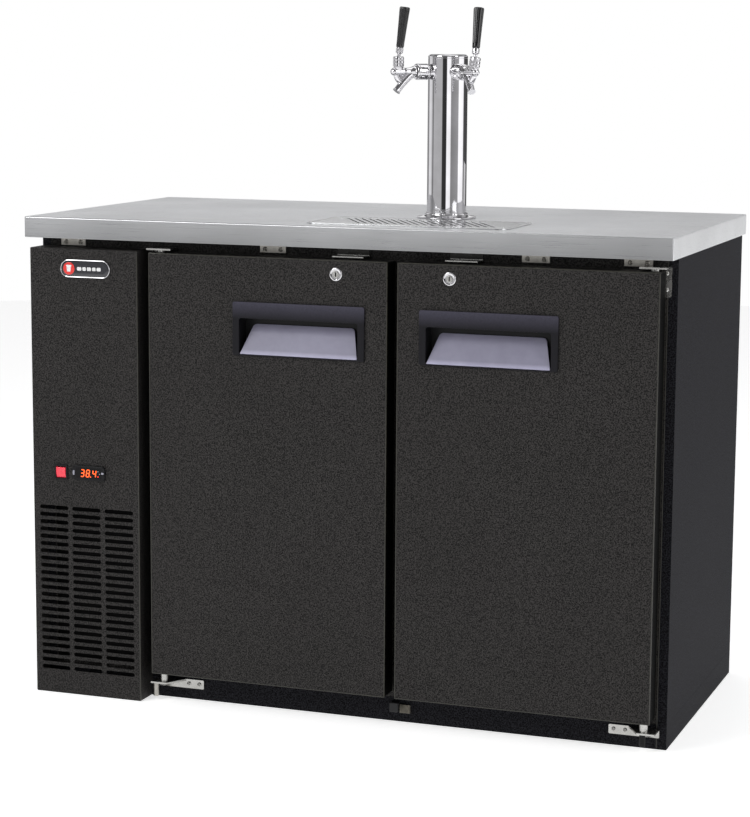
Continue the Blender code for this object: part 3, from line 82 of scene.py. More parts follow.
# ---- places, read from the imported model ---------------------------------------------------
DOOR = {side: corners(side + "_door") for side in SIDES}
HANDLE = {side: corners(side + "_door_handle") for side in SIDES}
GASKET = {side: corners(side + "_door_gasket") for side in SIDES}
GRILLE = corners("grille_panel")
WORKTOP = corners("countertop")
PAN = corners("drip_pan")
GRATE = corners("drip_grate")
COLUMN = corners("tower_column")
FLANGE = corners("tower_flange")
CAP = corners("tower_cap")
FRAME_FACE = corners("front_frame")
SKIN_Y = DOOR["left"][0][1]                 # front of the doors and of the grille panel
FACE_Y = FRAME_FACE[0][1]                   # front of the painted face behind them
TOWER = (COLUMN[0] + COLUMN[1]) / 2
COLUMN_RADIUS = (COLUMN[1][0] - COLUMN[0][0]) / 2
GAP = 0.0003                                # between pieces that touch

# ---- sizes of the fine pieces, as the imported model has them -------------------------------
LEVER_X = 0.101                             # lever pivot from the column's axis
LEVER_LIFT = 0.024                          # lever pivot above the shank's axis
LEVER_LEAN = math.radians(7.5)              # outwards, at rest
NUT_END = 0.067                             # coupling nut's face from the column's axis
COLLAR_END = COLUMN_RADIUS + 0.005
SPOUT_TIP = (NUT_END + 0.0380, -0.0355)     # along the shank and above its axis
SHEET = 0.0015
TOWER_BORE = 0.030                          # radius, through the worktop
HANDLE_JAMB = 0.0125                        # widths of the door handle's frame
HANDLE_BAR = 0.0295
HANDLE_SILL = 0.002
HANDLE_PROUD = 0.004
CAM_THROW = 0.0056                          # cam pin from the lock's axis
SLOT_ROWS = 23
SLOT_PITCH = 0.01403
SLOT_LOW = 0.0493                           # height of the lowest row
SLOT_SIZE = (0.059, 0.0075)
SLOT_COLUMN = 0.0671                        # between the middles of two columns
PAN_LIP = 0.0066                            # width of the drip bowl's rim outside its wall
PAN_CORNER = 0.022
TRAY_SLOT = (0.0046, 0.0140)                # width and pitch
TRAY_SLANT = 120.0
BADGE_PLACE = (0.005, 0.809)                # right of the cover's middle, and height
BADGE_HALF = (0.0505, 0.0165)
DIGIT = (0.0062, 0.0128, 0.0018)            # width, height and thickness of the bars
DIGIT_PITCH = 0.0110


# ---- surfaces ------------------------------------------------------------------------------
def grid_skin(points, wrap_rows=False, capped=True):
    """Quads between neighbours in an (m, n, 3) array of points: columns run anticlockwise and
    close on themselves, rows run upwards, and open ends are closed flat."""
    m, n = points.shape[:2]
    i, j = np.meshgrid(np.arange(m if wrap_rows else m - 1), np.arange(n), indexing="ij")
    k, q = (i + 1) % m, (j + 1) % n
    quads = np.stack([i * n + j, i * n + q, k * n + q, k * n + j], -1).reshape(-1, 4).tolist()
    if capped and not wrap_rows:
        quads += [list(range(n - 1, -1, -1)), list(range((m - 1) * n, m * n))]
    return points.reshape(-1, 3), quads


def joined(*skins):
    """Several skins as one."""
    first, points, faces = 0, [], []
    for skin_points, skin_faces in skins:
        points.append(skin_points)
        faces += [[i + first for i in face] for face in skin_faces]
        first += len(skin_points)
    return np.concatenate(points), faces


def placed(skin, matrix):
    """A skin moved by a 4 x 4 matrix, and turned right side out if the matrix mirrors it."""
    points, faces = skin
    matrix = np.array(matrix)
    if np.linalg.det(matrix[:3, :3]) < 0:
        faces = [face[::-1] for face in faces]
    return points @ matrix[:3, :3].T + matrix[:3, 3], faces


def filleted(points, radius, steps=5, closed=True):
    """A polyline whose corners become quadratic curves that start and end a radius away."""
    points = np.array(points, float)
    radius = np.broadcast_to(np.array(radius, float), len(points))
    before, after = np.roll(points, 1, 0) - points, np.roll(points, -1, 0) - points
    reach_a = np.linalg.norm(before, axis=1)
    reach_b = np.linalg.norm(after, axis=1)
    cut = np.minimum(radius, 0.49 * np.minimum(reach_a, reach_b))
    if not closed:
        cut[[0, -1]] = 0
    start = points + before * (cut / reach_a)[:, None]
    end = points + after * (cut / reach_b)[:, None]
    t = np.linspace(0, 1, steps + 1)[None, :, None]
    curve = ((1 - t) ** 2 * start[:, None] + 2 * t * (1 - t) * points[:, None]
             + t ** 2 * end[:, None]).reshape(-1, points.shape[1])
    moved = np.linalg.norm(curve - np.roll(curve, 1, 0), axis=1) > 1e-7
    if not closed:
        moved[0] = True
    return curve[moved]


def turned(profile, sides=96, wrap=False, flute=None):
    """A profile of (radius, height), bottom to top outside, turned about Z.  flute gives a
    factor on the radius from the angle and the height."""
    profile = np.array(profile, float)
    angle = np.linspace(0, 2 * np.pi, sides, endpoint=False)[None]
    radius, height = profile[:, :1], profile[:, 1:]
    factor = np.ones((len(profile), sides)) if flute is None else flute(angle, height)
    points = np.stack([radius * factor * np.cos(angle), radius * factor * np.sin(angle),
                       np.broadcast_to(height, factor.shape)], -1)
    return grid_skin(points, wrap)


def round_rectangle(x0, y0, x1, y1, radius, steps=8):
    """Anticlockwise outline and its outward normals: each corner's centre plus a radius along
    the normals of a quarter turn."""
    start = np.radians([-90, 0, 90, 180])[:, None]
    angle = start + np.radians(np.linspace(0, 90, steps + 1))[None]
    normal = np.stack([np.cos(angle), np.sin(angle)], -1)
    centre = np.array([[x1 - radius, y0 + radius], [x1 - radius, y1 - radius],
                       [x0 + radius, y1 - radius], [x0 + radius, y0 + radius]])[:, None]
    return (centre + radius * normal).reshape(-1, 2), normal.reshape(-1, 2)


def slot_outline(x, y, length, width, degrees=0.0, steps=7):
    """A slot with round ends, turned about its middle."""
    points, normal = round_rectangle(-length / 2, -width / 2, length / 2, width / 2,
                                     0.499 * width, steps)
    c, s = math.cos(math.radians(degrees)), math.sin(math.radians(degrees))
    turn = np.array([[c, s], [-s, c]])
    return points @ turn + (x, y), normal @ turn


def round_outline(x, y, radius, count=48):
    """A circle and its outward normals."""
    angle = np.linspace(0, 2 * np.pi, count, endpoint=False)
    normal = np.stack([np.cos(angle), np.sin(angle)], -1)
    return normal * radius + (x, y), normal


def free_outline(points):
    """An anticlockwise outline with normals at right angles to the chord between neighbours."""
    points = np.array(points, float)
    chord = np.roll(points, -1, 0) - np.roll(points, 1, 0)
    normal = np.stack([chord[:, 1], -chord[:, 0]], -1)
    return points, normal / np.linalg.norm(normal, axis=1)[:, None]


def rounded_rows(low, high, edge, steps=4):
    """Rows of (inset, height) from low to high with a quarter round at both ends: the inset is
    the edge times 1 - sin, the rise the edge times 1 - cos."""
    a = np.linspace(0, np.pi / 2, steps + 1)
    inset, rise = edge * (1 - np.sin(a)), edge * (1 - np.cos(a))
    return np.stack([np.concatenate([inset, inset[::-1]]),
                     np.concatenate([low + rise, high - rise[::-1]])], -1)


def band(outline, rows, capped=True, wrap=False):
    """An outline carried along rows of (inset, height): each point moves in along its normal."""
    points, normal = outline
    rows = np.array(rows, float)
    flat = points[None] - rows[:, 0, None, None] * normal[None]
    height = np.broadcast_to(rows[:, 1, None, None], flat.shape[:2] + (1,))
    return grid_skin(np.concatenate([flat, height], -1), wrap, capped)


def flat_fill(loops):
    """Triangles between outlines: Delaunay triangles whose middles a ray leaves through an odd
    number of the outlines' edges."""
    points = np.concatenate(loops)
    ends = np.concatenate([np.roll(loop, -1, 0) for loop in loops])
    sizes = [len(loop) for loop in loops]
    first = np.repeat(np.cumsum([0] + sizes[:-1]), sizes)
    here = np.arange(len(points))
    after = (here - first + 1) % np.repeat(sizes, sizes) + first
    found, _, faces, _, _, _ = delaunay_2d_cdt(
        [Vector(p) for p in points.tolist()], np.stack([here, after], -1).tolist(), [], 0, 1e-8)
    if len(found) != len(points):
        raise RuntimeError("an outline crosses itself or another")
    faces = np.array(faces)
    middle = points[faces].mean(1)
    (x0, y0), (x1, y1) = points.T, ends.T
    x, y = middle[:, :1], middle[:, 1:]
    rise = np.where(y1 == y0, 1.0, y1 - y0)
    crossed = ((y0 > y) != (y1 > y)) & (x < x0 + (y - y0) * (x1 - x0) / rise)
    return faces[crossed.sum(1) % 2 == 1]


def plate(outer, holes, rows, hole_rows=None):
    """A flat sheet with holes: every outline's wall follows rows of (inset, height), and the
    two faces are filled between the walls' ends."""
    hole_rows = rows if hole_rows is None else hole_rows
    walls = [(outer, np.array(rows, float))]
    walls += [((points[::-1], -normal[::-1]), np.array(hole_rows, float))
              for points, normal in holes]
    skins = [band(outline, wall, capped=False) for outline, wall in walls]
    skin_points, faces = joined(*skins)
    counts = [len(outline[0]) for outline, _ in walls]
    starts = np.cumsum([0] + [len(skin[0]) for skin in skins[:-1]])
    for end in (0, -1):
        loops = [skin[0][:count, :2] if end == 0 else skin[0][-count:, :2]
                 for skin, count in zip(skins, counts)]
        rims = [np.arange(count) + start + (0 if end == 0 else len(skin[0]) - count)
                for skin, count, start in zip(skins, counts, starts)]
        fill = np.concatenate(rims)[flat_fill(loops)]
        faces += (fill[:, ::-1] if end == 0 else fill).tolist()
    return skin_points, faces


def swept(path, radius, sides=32):
    """A round tube along a path in the XZ plane: each ring lies across the path's tangent."""
    path = np.array(path, float)
    radius = np.broadcast_to(np.array(radius, float), len(path))[:, None, None]
    tangent = np.gradient(path, axis=0)
    tangent /= np.linalg.norm(tangent, axis=1)[:, None]
    across = np.array([0.0, 1.0, 0.0])
    side = np.cross(across, tangent)
    angle = np.linspace(0, 2 * np.pi, sides, endpoint=False)[None, :, None]
    return grid_skin(path[:, None] + radius * (np.cos(angle) * side[:, None]
                                               + np.sin(angle) * across))


def screw_head(radius, height, slot=0.16, rings=5, sides=16):
    """A domed head with a cross recess: height h*(1-(r/R)^2)^0.5, less a depth where x or y is
    within the slot's half width and r is under 0.62 R."""
    r = np.linspace(1.0, 0.02, rings)[:, None]
    angle = np.linspace(0, 2 * np.pi, sides, endpoint=False)[None]
    x, y = r * np.cos(angle), r * np.sin(angle)
    dome = np.sqrt(np.clip(1 - 0.86 * r * r, 0, 1)) * np.ones_like(x)
    cross = (np.minimum(np.abs(x), np.abs(y)) < slot) & (r < 0.62)
    z = height * (dome - 0.55 * cross)
    top = np.stack([radius * x, radius * y, z], -1)
    foot = top[:1] * (1, 1, 0)
    return grid_skin(np.concatenate([foot, top]))


FRONT = np.array([[1, 0, 0, 0], [0, 0, -1, 0], [0, 1, 0, 0], [0, 0, 0, 1.0]])   # height to -Y
INWARD = np.array([[1, 0, 0, 0], [0, 0, 1, 0], [0, 1, 0, 0], [0, 0, 0, 1.0]])   # height to +Y
SIDE = np.array([[0, 0, 1, 0], [1, 0, 0, 0], [0, 1, 0, 0], [0, 0, 0, 1.0]])     # height to +X
ALONG_X = np.array([[0, 0, 1, 0], [0, 1, 0, 0], [-1, 0, 0, 0], [0, 0, 0, 1.0]])  # axis to +X


def shift(x=0.0, y=0.0, z=0.0):
    """A matrix that moves by x, y and z."""
    matrix = np.eye(4)
    matrix[:3, 3] = x, y, z
    return matrix


def axes(x, y, z, origin):
    """A matrix from three axes and an origin."""
    matrix = np.eye(4)
    matrix[:3, :3] = np.stack([x, y, z], -1)
    matrix[:3, 3] = origin
    return matrix


def along(direction, origin):
    """A matrix whose Z runs along a direction."""
    turn = Vector(direction).to_track_quat("Z", "Y").to_matrix()
    return axes(*np.array(turn).T, origin)


# ---- materials -----------------------------------------------------------------------------
def add_node(tree, kind, inputs=(), **settings):
    """A shader node with its settings; inputs give each socket a value or the output to link."""
    made = tree.nodes.new("ShaderNode" + kind)
    for name, value in settings.items():
        setattr(made, name, value)
    for socket, value in dict(inputs).items():
        if isinstance(value, bpy.types.NodeSocket):
            tree.links.new(value, made.inputs[socket])
        else:
            made.inputs[socket].default_value = value
    return made


def scaled_colour(tree, colour, factor):
    """A colour times a factor, both from other nodes."""
    scaled = add_node(tree, "VectorMath", {0: colour}, operation="SCALE")
    tree.links.new(factor, scaled.inputs["Scale"])
    return scaled.outputs["Vector"]


def surface(name, colours, roughness, grain, metallic=0.0, bump=0.0, stretch=(1, 1, 1),
            contrast=0.18, drift=(0.9, 1.08), extra=(), shades=()):
    """A named finish.  Noise whose features are grain metres across mixes two colours, moves
    the roughness between two values and raises the surface by bump metres; stretch lengthens
    the features along each axis, a low contrast number parts the two colours more sharply, and
    drift makes hand-sized areas darker or lighter.  Each shade is an axis, two places along it
    and the colour's factors there; the largest of their factors holds."""
    if name in bpy.data.materials:
        return bpy.data.materials[name]
    material = bpy.data.materials.new(name)
    material.use_nodes = True
    tree = material.node_tree
    shader = tree.nodes["Principled BSDF"]
    place = add_node(tree, "TexCoord").outputs["Object"]
    scaled = add_node(tree, "Mapping", {"Vector": place, "Scale": [1 / s for s in stretch]})
    fine = add_node(tree, "TexNoise", {"Vector": scaled.outputs["Vector"], "Scale": 1 / grain,
                                       "Detail": 3.0, "Roughness": 0.6}).outputs["Fac"]
    broad = add_node(tree, "TexNoise", {"Vector": place, "Scale": 5.0, "Detail": 2.0})
    parted = add_node(tree, "MapRange", {"Value": fine, "From Min": 0.5 - contrast,
                                         "From Max": 0.5 + contrast})
    mixed = add_node(tree, "Mix", {0: parted.outputs["Result"], 6: (*colours[0], 1),
                                   7: (*colours[1], 1)}, data_type="RGBA").outputs[2]
    area = add_node(tree, "MapRange", {"Value": broad.outputs["Fac"], "From Min": 0.3,
                                       "From Max": 0.7, "To Min": drift[0], "To Max": drift[1]})
    colour = scaled_colour(tree, mixed, area.outputs["Result"])
    if shades:
        parts = add_node(tree, "SeparateXYZ", {"Vector": place})
        ramps = [add_node(tree, "MapRange", {
            "Value": parts.outputs[axis], "From Min": start, "From Max": end, "To Min": low,
            "To Max": high}).outputs["Result"] for axis, start, end, low, high in shades]
        factor = ramps[0]
        for ramp in ramps[1:]:
            factor = add_node(tree, "Math", {0: factor, 1: ramp},
                              operation="MAXIMUM").outputs["Value"]
        colour = scaled_colour(tree, colour, factor)
    tree.links.new(colour, shader.inputs["Base Color"])
    rough = add_node(tree, "MapRange", {"Value": fine, "From Min": 0.3, "From Max": 0.7,
                                        "To Min": roughness[0], "To Max": roughness[1]})
    tree.links.new(rough.outputs["Result"], shader.inputs["Roughness"])
    if bump:
        height = add_node(tree, "Bump", {"Height": fine, "Strength": 1.0, "Distance": bump})
        tree.links.new(height.outputs["Normal"], shader.inputs["Normal"])
    shader.inputs["Metallic"].default_value = metallic
    for socket, value in dict(extra).items():
        shader.inputs[socket].default_value = value
    return material


def pair(code_a, code_b):
    """Two sRGB hex codes as linear colours, darker first."""
    return linear_rgb(code_a), linear_rgb(code_b)


def toned(setting, share):
    """A colour from the panel's settings, after a darker tone that is a share of it."""
    light = tuple(getattr(bpy.context.scene.kegerator_colours, setting))
    return tuple(share * c for c in light), light


def glowing(colour, strength):
    """Shader values of a lit surface."""
    return {"Emission Color": (*colour, 1), "Emission Strength": strength}


def powder_coat():
    """Black polyester powder baked on steel: an orange peel that glitters grey, drawn over two
    millimetres wide where the real grain is a quarter of that."""
    return surface("powder_coated_steel", toned("cabinet", 0.06), (0.42, 0.66), 0.0023,
                   bump=0.00045, contrast=0.10, drift=(0.95, 1.04),
                   extra={"Specular IOR Level": 0.13})


def base_coat():
    """The same powder on the base and the back, colder and with less gloss."""
    return surface("powder_coated_base", pair("060608", "2A2A2E"), (0.55, 0.75), 0.0024,
                   bump=0.0004, contrast=0.10, drift=(0.95, 1.04),
                   extra={"Specular IOR Level": 0.04})


def side_coat():
    """The same powder, a little thicker and coarser, on the sides."""
    return surface("powder_coated_side", pair("08080A", "313136"), (0.55, 0.75), 0.0028,
                   bump=0.0005, stretch=(1, 1.4, 1), contrast=0.10, drift=(0.95, 1.04),
                   extra={"Specular IOR Level": 0.04})


def door_return_shade():
    """Near-black where a door's skin is folded back along its sides: painted shade."""
    return surface("powder_coated_return", pair("030303", "0A0A0A"), (0.5, 0.7), 0.0024,
                   extra={"Specular IOR Level": 0.06})


def edge_highlight():
    """Powder coat along folded edges: a paler olive line with more gloss.  The rounded edge
    catches real light; its paler colour is a painted highlight.
    """
    return surface("rubbed_powder_edge", pair("1D1C17", "2E2D24"), (0.25, 0.4), 0.006,
                   extra={"Specular IOR Level": 0.5})


def brushed_stainless():
    """Sheet brushed along the worktop's length: fine streaks as long as a hand.  Its front
    edge is folded down and its colour there is darker, more so towards the bottom: painted shade."""
    front, low, high = WORKTOP[0][1], WORKTOP[0][2], WORKTOP[1][2]
    # Painted shade: on the folded front edge the colour falls to 0.44-0.64 of itself, darkest at
    # the bottom.
    return surface("brushed_stainless", toned("worktop", 0.93), (0.26, 0.34), 0.0014, 1.0,
                   stretch=(120, 1, 1), shades=[("Y", front + 0.0008, front + 0.0016, 0.0, 1.0),
                                                ("Z", low, high, 0.44, 0.64)])


def satin_stainless():
    """Rolled stainless of the liner, with a dull even sheen."""
    return surface("satin_stainless", pair("B4B6B7", "CDCFD0"), (0.30, 0.42), 0.002, 1.0,
                   0.00001, (1, 1, 40))


def chrome():
    """Chrome plate over polished brass: a mirror with the faintest haze."""
    return surface("chrome_plate", pair("CDCCCE", "D8D7DA"), (0.02, 0.045), 0.03, 1.0)


def polished_tray():
    """Polished stainless of the drip tray, a little duller than chrome."""
    return surface("polished_stainless", pair("E4E5E6", "F0F1F2"), (0.10, 0.17), 0.004, 1.0)


def zinc_plate():
    """Bright zinc on pressed steel: cloudy crystals with a warm cast."""
    return surface("zinc_plated_steel", pair("A3A09A", "BCB9B2"), (0.30, 0.40), 0.012, 1.0)


def pressed_stainless():
    """Pressed stainless of the hinges and strikes."""
    return surface("pressed_stainless", pair("AFAEAB", "C2C1BE"), (0.22, 0.30), 0.02, 1.0)


def strike_steel():
    """Pressed stainless of the strikes, whose upright, in the recess under the worktop, is
    darkened almost to black: painted shade.
    """
    low = corners("left_strike_plate")[0][2]
    # Painted shade: above its foot the upright's colour falls to 6 per cent.
    return surface("painted_strike_steel", pair("AFAEAB", "C2C1BE"), (0.22, 0.30), 0.02, 1.0,
                   shades=[("Z", low + 0.0022, low + 0.0030, 1.0, 0.06)])


def black_moulding():
    """Black ABS from a spark-eroded mould: fine even grain."""
    return surface("black_abs", pair("0B0B0D", "131315"), (0.36, 0.5), 0.0012, bump=0.00004,
                   extra={"Specular IOR Level": 0.2})


def handle_moulding():
    """Dark grey ABS of the door handles, with a violet cast and a leathery grain.  Darker below
    the grip bar and lighter up it towards its top: painted shade and painted highlight.
    """
    top = HANDLE["left"][1][2]
    # Painted shade and highlight: the colour runs from 0.4 below the grip bar to 3.2 at its top.
    return surface("grey_abs", toned("handle", 0.78), (0.40, 0.52), 0.0030, bump=0.00012,
                   extra={"Specular IOR Level": 0.18},
                   shades=[("Z", top - HANDLE_BAR, top, 0.40, 3.2)])


def scoop_moulding():
    """Pale grey ABS of the handles' sloping floors, smooth from the mould, paler along its
    front edge."""
    low = HANDLE["left"][0][2]
    return surface("pale_abs", pair("8B899D", "918FA3"), (0.30, 0.36), 0.02,
                   shades=[("Z", low + 0.004, low + 0.011, 1.7, 1.0)])


def soft_seal():
    """Black PVC extrusion of the magnetic seals."""
    return surface("pvc_seal", pair("121213", "1D1D1F"), (0.55, 0.72), 0.003, bump=0.00006)


def polyurethane_foam():
    """Foamed polyurethane: cream, open cells."""
    return surface("polyurethane_foam", pair("C9BC8C", "E0D6AC"), (0.85, 0.95), 0.003,
                   bump=0.0004)


def machine_enamel():
    """Semi-gloss black enamel sprayed on the compressor and the motor."""
    return surface("machine_enamel", pair("0F0F10", "19191A"), (0.28, 0.4), 0.004, bump=0.00008)


def rolled_fin():
    """Rolled aluminium fins, dulled by handling."""
    return surface("rolled_aluminium", pair("8C9093", "B4B7BA"), (0.35, 0.5), 0.004, 1.0)


def coil_lacquer_and_shade():
    """Black lacquer dipped over the condenser's fins, dull with dust, and darkened almost to
    black: painted shade seen through the louvres.
    """
    return surface("black_lacquered_fin", pair("020202", "070708"), (0.55, 0.75), 0.003,
                   extra={"Specular IOR Level": 0.1})


def drawn_copper():
    """Drawn copper tube with darker heat stains."""
    return surface("drawn_copper", pair("8A4B2E", "C67C52"), (0.22, 0.4), 0.012, 1.0)


def fan_nylon():
    """Black glass-filled nylon of the fans."""
    return surface("glass_nylon", pair("101011", "1B1B1C"), (0.5, 0.62), 0.002, bump=0.00004)


def tap_grip():
    """Glossy black phenolic of the tap handles, slightly dusty in the flutes."""
    return surface("black_phenolic", pair("060607", "101013"), (0.14, 0.26), 0.008,
                   extra={"Coat Weight": 0.5, "Coat Roughness": 0.08})


def lit_rocker():
    """Clear red polycarbonate with a lamp behind it."""
    tones = toned("lamp", 0.8)
    return surface("red_polycarbonate", tones, (0.12, 0.2), 0.004,
                   extra={**glowing(tones[1], 0.35), "Coat Weight": 0.6})


def display_glass():
    """Smoked acrylic over the display."""
    return surface("smoked_acrylic", pair("030304", "070506"), (0.06, 0.12), 0.01,
                   extra={"Specular IOR Level": 0.15})


def lit_digit():
    """Orange light-emitting segments."""
    tones = pair("FF5A1E", "FF5A1E")
    return surface("lit_segment", tones, (0.3, 0.4), 0.004, extra=glowing(tones[1], 1.5))


def red_dot():
    """A red light-emitting diode."""
    tones = pair("F0281C", "F0281C")
    return surface("red_diode", tones, (0.3, 0.4), 0.004, extra=glowing(tones[1], 1.4))


def pale_ink():
    """Pale grey printing on the display's face."""
    return surface("pale_ink", pair("8F8F9C", "A8A8B4"), (0.4, 0.5), 0.002)


def badge_face():
    """Deep blue-black enamel under a clear dome."""
    return surface("badge_enamel", pair("0C0D16", "14151F"), (0.10, 0.16), 0.006,
                   extra={"Coat Weight": 0.8})


def badge_red():
    """Bright red enamel."""
    return surface("badge_red_enamel", pair("D42420", "E8352C"), (0.12, 0.2), 0.004,
                   extra={"Coat Weight": 0.8})


def badge_white():
    """White enamel."""
    return surface("badge_white_enamel", pair("DADADA", "F0F0F0"), (0.2, 0.3), 0.004)


# ---- pieces --------------------------------------------------------------------------------
def make_piece(name, skin, material, body, nodes=(), sharp=32.0):
    """A new object from a skin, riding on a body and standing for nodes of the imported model.
    Quads are smooth, with normals that lean towards the larger faces; the triangles and
    polygons that fill flat faces stay flat."""
    points, faces = skin
    mesh = bpy.data.meshes.new(name)
    mesh.from_pydata(points.tolist(), [], faces)
    mesh.polygons.foreach_set("use_smooth", [len(face) == 4 for face in faces])
    mesh.set_sharp_from_angle(angle=math.radians(sharp))
    mesh.materials.append(material)
    piece = bpy.data.objects.new(name, mesh)
    bpy.context.scene.collection.objects.link(piece)
    even = piece.modifiers.new("even_normals", "WEIGHTED_NORMAL")
    even.keep_sharp = True
    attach(piece, body)
    if nodes:
        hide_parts(*nodes)
    return piece


def dress(material, *nodes):
    """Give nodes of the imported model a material."""
    for node in nodes:
        materials = frame["nodes"][node].data.materials
        materials.clear()
        materials.append(material)


def dress_facing(node, axis, material):
    """Give a second material to a node's faces that look along an axis, forwards or back."""
    mesh = frame["nodes"][node].data
    mesh.materials.append(material)
    facing = np.empty(3 * len(mesh.polygons))
    mesh.polygons.foreach_get("normal", facing)
    mesh.polygons.foreach_set("material_index", np.abs(facing[axis::3]) > 0.9)


def build_cabinet():
    """The painted shell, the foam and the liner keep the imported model's shapes."""
    dress(powder_coat(), "front_frame", "left_door", "right_door")
    dress(side_coat(), "left_side_panel", "right_side_panel")
    dress(base_coat(), "base_pan", "back_panel")
    for side in SIDES:
        # Painted shade: the doors' sideways faces are near-black.
        dress_facing(side + "_door", 0, door_return_shade())
        dress_facing(side + "_side_panel", 1, base_coat())
    dress_facing("base_pan", 0, side_coat())
    dress(polyurethane_foam(), "insulation_body")
    dress(satin_stainless(), "inner_liner", "evaporator_cover")
    dress(zinc_plate(), "fan_shroud", *("top_clip_{}".format(i) for i in range(1, 5)))
    build_folded_edges()


def build_folded_edges():
    """Rounded sheet edges: a thin bead round the front and the back of each door, and rods in
    the corners of the cabinet and of the machine compartment's cover."""
    # The beads and rods take a paler colour: painted highlight along the rounded edges.
    bead = [(-0.0003, -0.0022), (-0.0003, -0.0004), (0.0, 0.0002), (0.0004, 0.0003),
            (0.0016, 0.0003), (0.0016, -0.0002), (0.0002, -0.0006), (0.0002, -0.0022)]
    for side in SIDES:
        (x0, front, z0), (x1, back, z1) = DOOR[side]
        ring = band(round_rectangle(x0, z0, x1, z1, 0.0012, 4), bead, wrap=True)
        skins = [placed(placed(ring, shift(0, 0, -front)), FRONT),
                 placed(placed(ring, shift(0, 0, back)), INWARD)]
        make_piece(side + "_door_edges", joined(*skins), edge_highlight(), side + "_door")
    inset, radius = 0.0010, 0.0013
    right = FRAME_FACE[1][0]
    rods = [(GRILLE[1][0] - inset, SKIN_Y + inset, GRILLE[0][2], GRILLE[1][2]),
            (right - inset, FACE_Y + inset, 0.0, WORKTOP[0][2])]
    skins = [placed(turned([(radius, low + 0.001), (radius, high - 0.001)], 20), shift(x, y))
             for x, y, low, high in rods]
    make_piece("cabinet_edges", joined(*skins), edge_highlight(), "cabinet")


def build_worktop():
    """Brushed slab with a bullnose edge, open for the drip pan and the tower's bore."""
    (x0, y0, z0), (x1, y1, z1) = WORKTOP
    outer = round_rectangle(x0, y0, x1, y1, 0.004, 6)
    inset = PAN_LIP - 0.0004
    recess = round_rectangle(PAN[0][0] + inset, PAN[0][1] + inset, PAN[1][0] - inset,
                             PAN[1][1] - inset, 0.008)
    bore = round_outline(TOWER[0], TOWER[1], TOWER_BORE, 64)
    nose = bpy.context.scene.kegerator_sizes.worktop_nose
    top = rounded_rows(z0, z1, nose, 6)[7:]
    rows = np.concatenate([rounded_rows(z0, z1, 0.0008, 3)[:4], top])
    make_piece("worktop_sheet", plate(outer, [recess, bore], rows, [(0, z0), (0, z1)]),
               brushed_stainless(), "cabinet", ["countertop"])


def build_grille():
    """The machine compartment's cover: a folded tray with three columns of round-ended slots
    and two windows for the controls."""
    (x0, _, z0), (x1, back, z1) = GRILLE
    middle = (x0 + x1) / 2
    length, width = SLOT_SIZE
    holes = [slot_outline(middle + column * SLOT_COLUMN, SLOT_LOW + row * SLOT_PITCH, length,
                          width) for column in (-1, 0, 1) for row in range(SLOT_ROWS)]
    for node in ("switch_frame", "controller_case"):
        low, high = corners(node)
        lip = 0.002 - GAP
        holes.append(round_rectangle(low[0] + lip, low[2] + lip, high[0] - lip, high[2] - lip,
                                     0.0008, 3))
    outer = round_rectangle(x0, z0, x1, z1, 0.0022, 5)
    front = rounded_rows(SKIN_Y, back, 0.0015, 4)[:5]
    rows = [*front, (0, back), (SHEET, back), (SHEET, SKIN_Y + SHEET)]
    edge = 0.0004
    hole_rows = [(edge, SKIN_Y), (edge * 0.3, SKIN_Y + edge * 0.3), (0, SKIN_Y + edge),
                 (0, SKIN_Y + SHEET)]
    skin = plate(outer, holes, rows, hole_rows)
    make_piece("louvre_cover", placed(skin, INWARD), powder_coat(), "cabinet",
               ["grille_panel"])


def build_badge():
    """A domed pill with a bright rim, a red disc with a plain drinking glass on it, and a row
    of blank blocks: no name, no letters."""
    x = (GRILLE[0][0] + GRILLE[1][0]) / 2 + BADGE_PLACE[0]
    y, z = -SKIN_Y, BADGE_PLACE[1]
    half, tall = BADGE_HALF
    pill = round_rectangle(x - half, z - tall, x + half, z + tall, 0.0162, 16)
    make_piece("badge_rim", placed(band(pill, [
        (0, y), (0, y + 0.0018), (0.0004, y + 0.0026), (0.0011, y + 0.0029),
        (0.0018, y + 0.0026), (0.0020, y + 0.0018), (0.0020, y)], wrap=True), FRONT),
        chrome(), "cabinet")
    rows = [(0.0021, y), (0.0021, y + 0.0016), (0.004, y + 0.0020), (0.009, y + 0.0023)]
    make_piece("badge_plate", placed(band(pill, rows), FRONT), badge_face(), "cabinet")
    disc_x = x - 0.033
    disc = round_outline(disc_x, z, 0.0115, 48)
    top = y + 0.0023
    make_piece("badge_disc", placed(band(disc, [(0, top - 0.0003), (0, top + 0.0002),
                                                (0.0006, top + 0.0005)]), FRONT),
               badge_red(), "cabinet")
    # A glass with a foam head fills the disc.
    glass = free_outline(filleted([(-0.0034, -0.0060), (0.0034, -0.0060), (0.0046, 0.0042),
                                   (-0.0046, 0.0042)], 0.0009, 3))
    foam = slot_outline(0, 0.0052, 0.0112, 0.0030)
    marks = [band(glass, [(0, top + 0.0004), (0.0002, top + 0.0007)]),
             band(foam, [(0, top + 0.0004), (0.0003, top + 0.0009)])]
    skins = [placed(mark, shift(disc_x, z)) for mark in marks]
    # A row of plain blocks takes the place of a name.
    start = x - 0.0165
    for width in (0.0092, 0.0074, 0.0086, 0.0074, 0.0086):
        block = round_rectangle(start, z - 0.0034, start + width, z + 0.0034, 0.0020, 5)
        skins.append(band(block, [(0, top - 0.0002), (0.0002, top + 0.0003)]))
        start += width + 0.0019
    make_piece("badge_marks", placed(joined(*skins), FRONT), badge_white(), "cabinet")


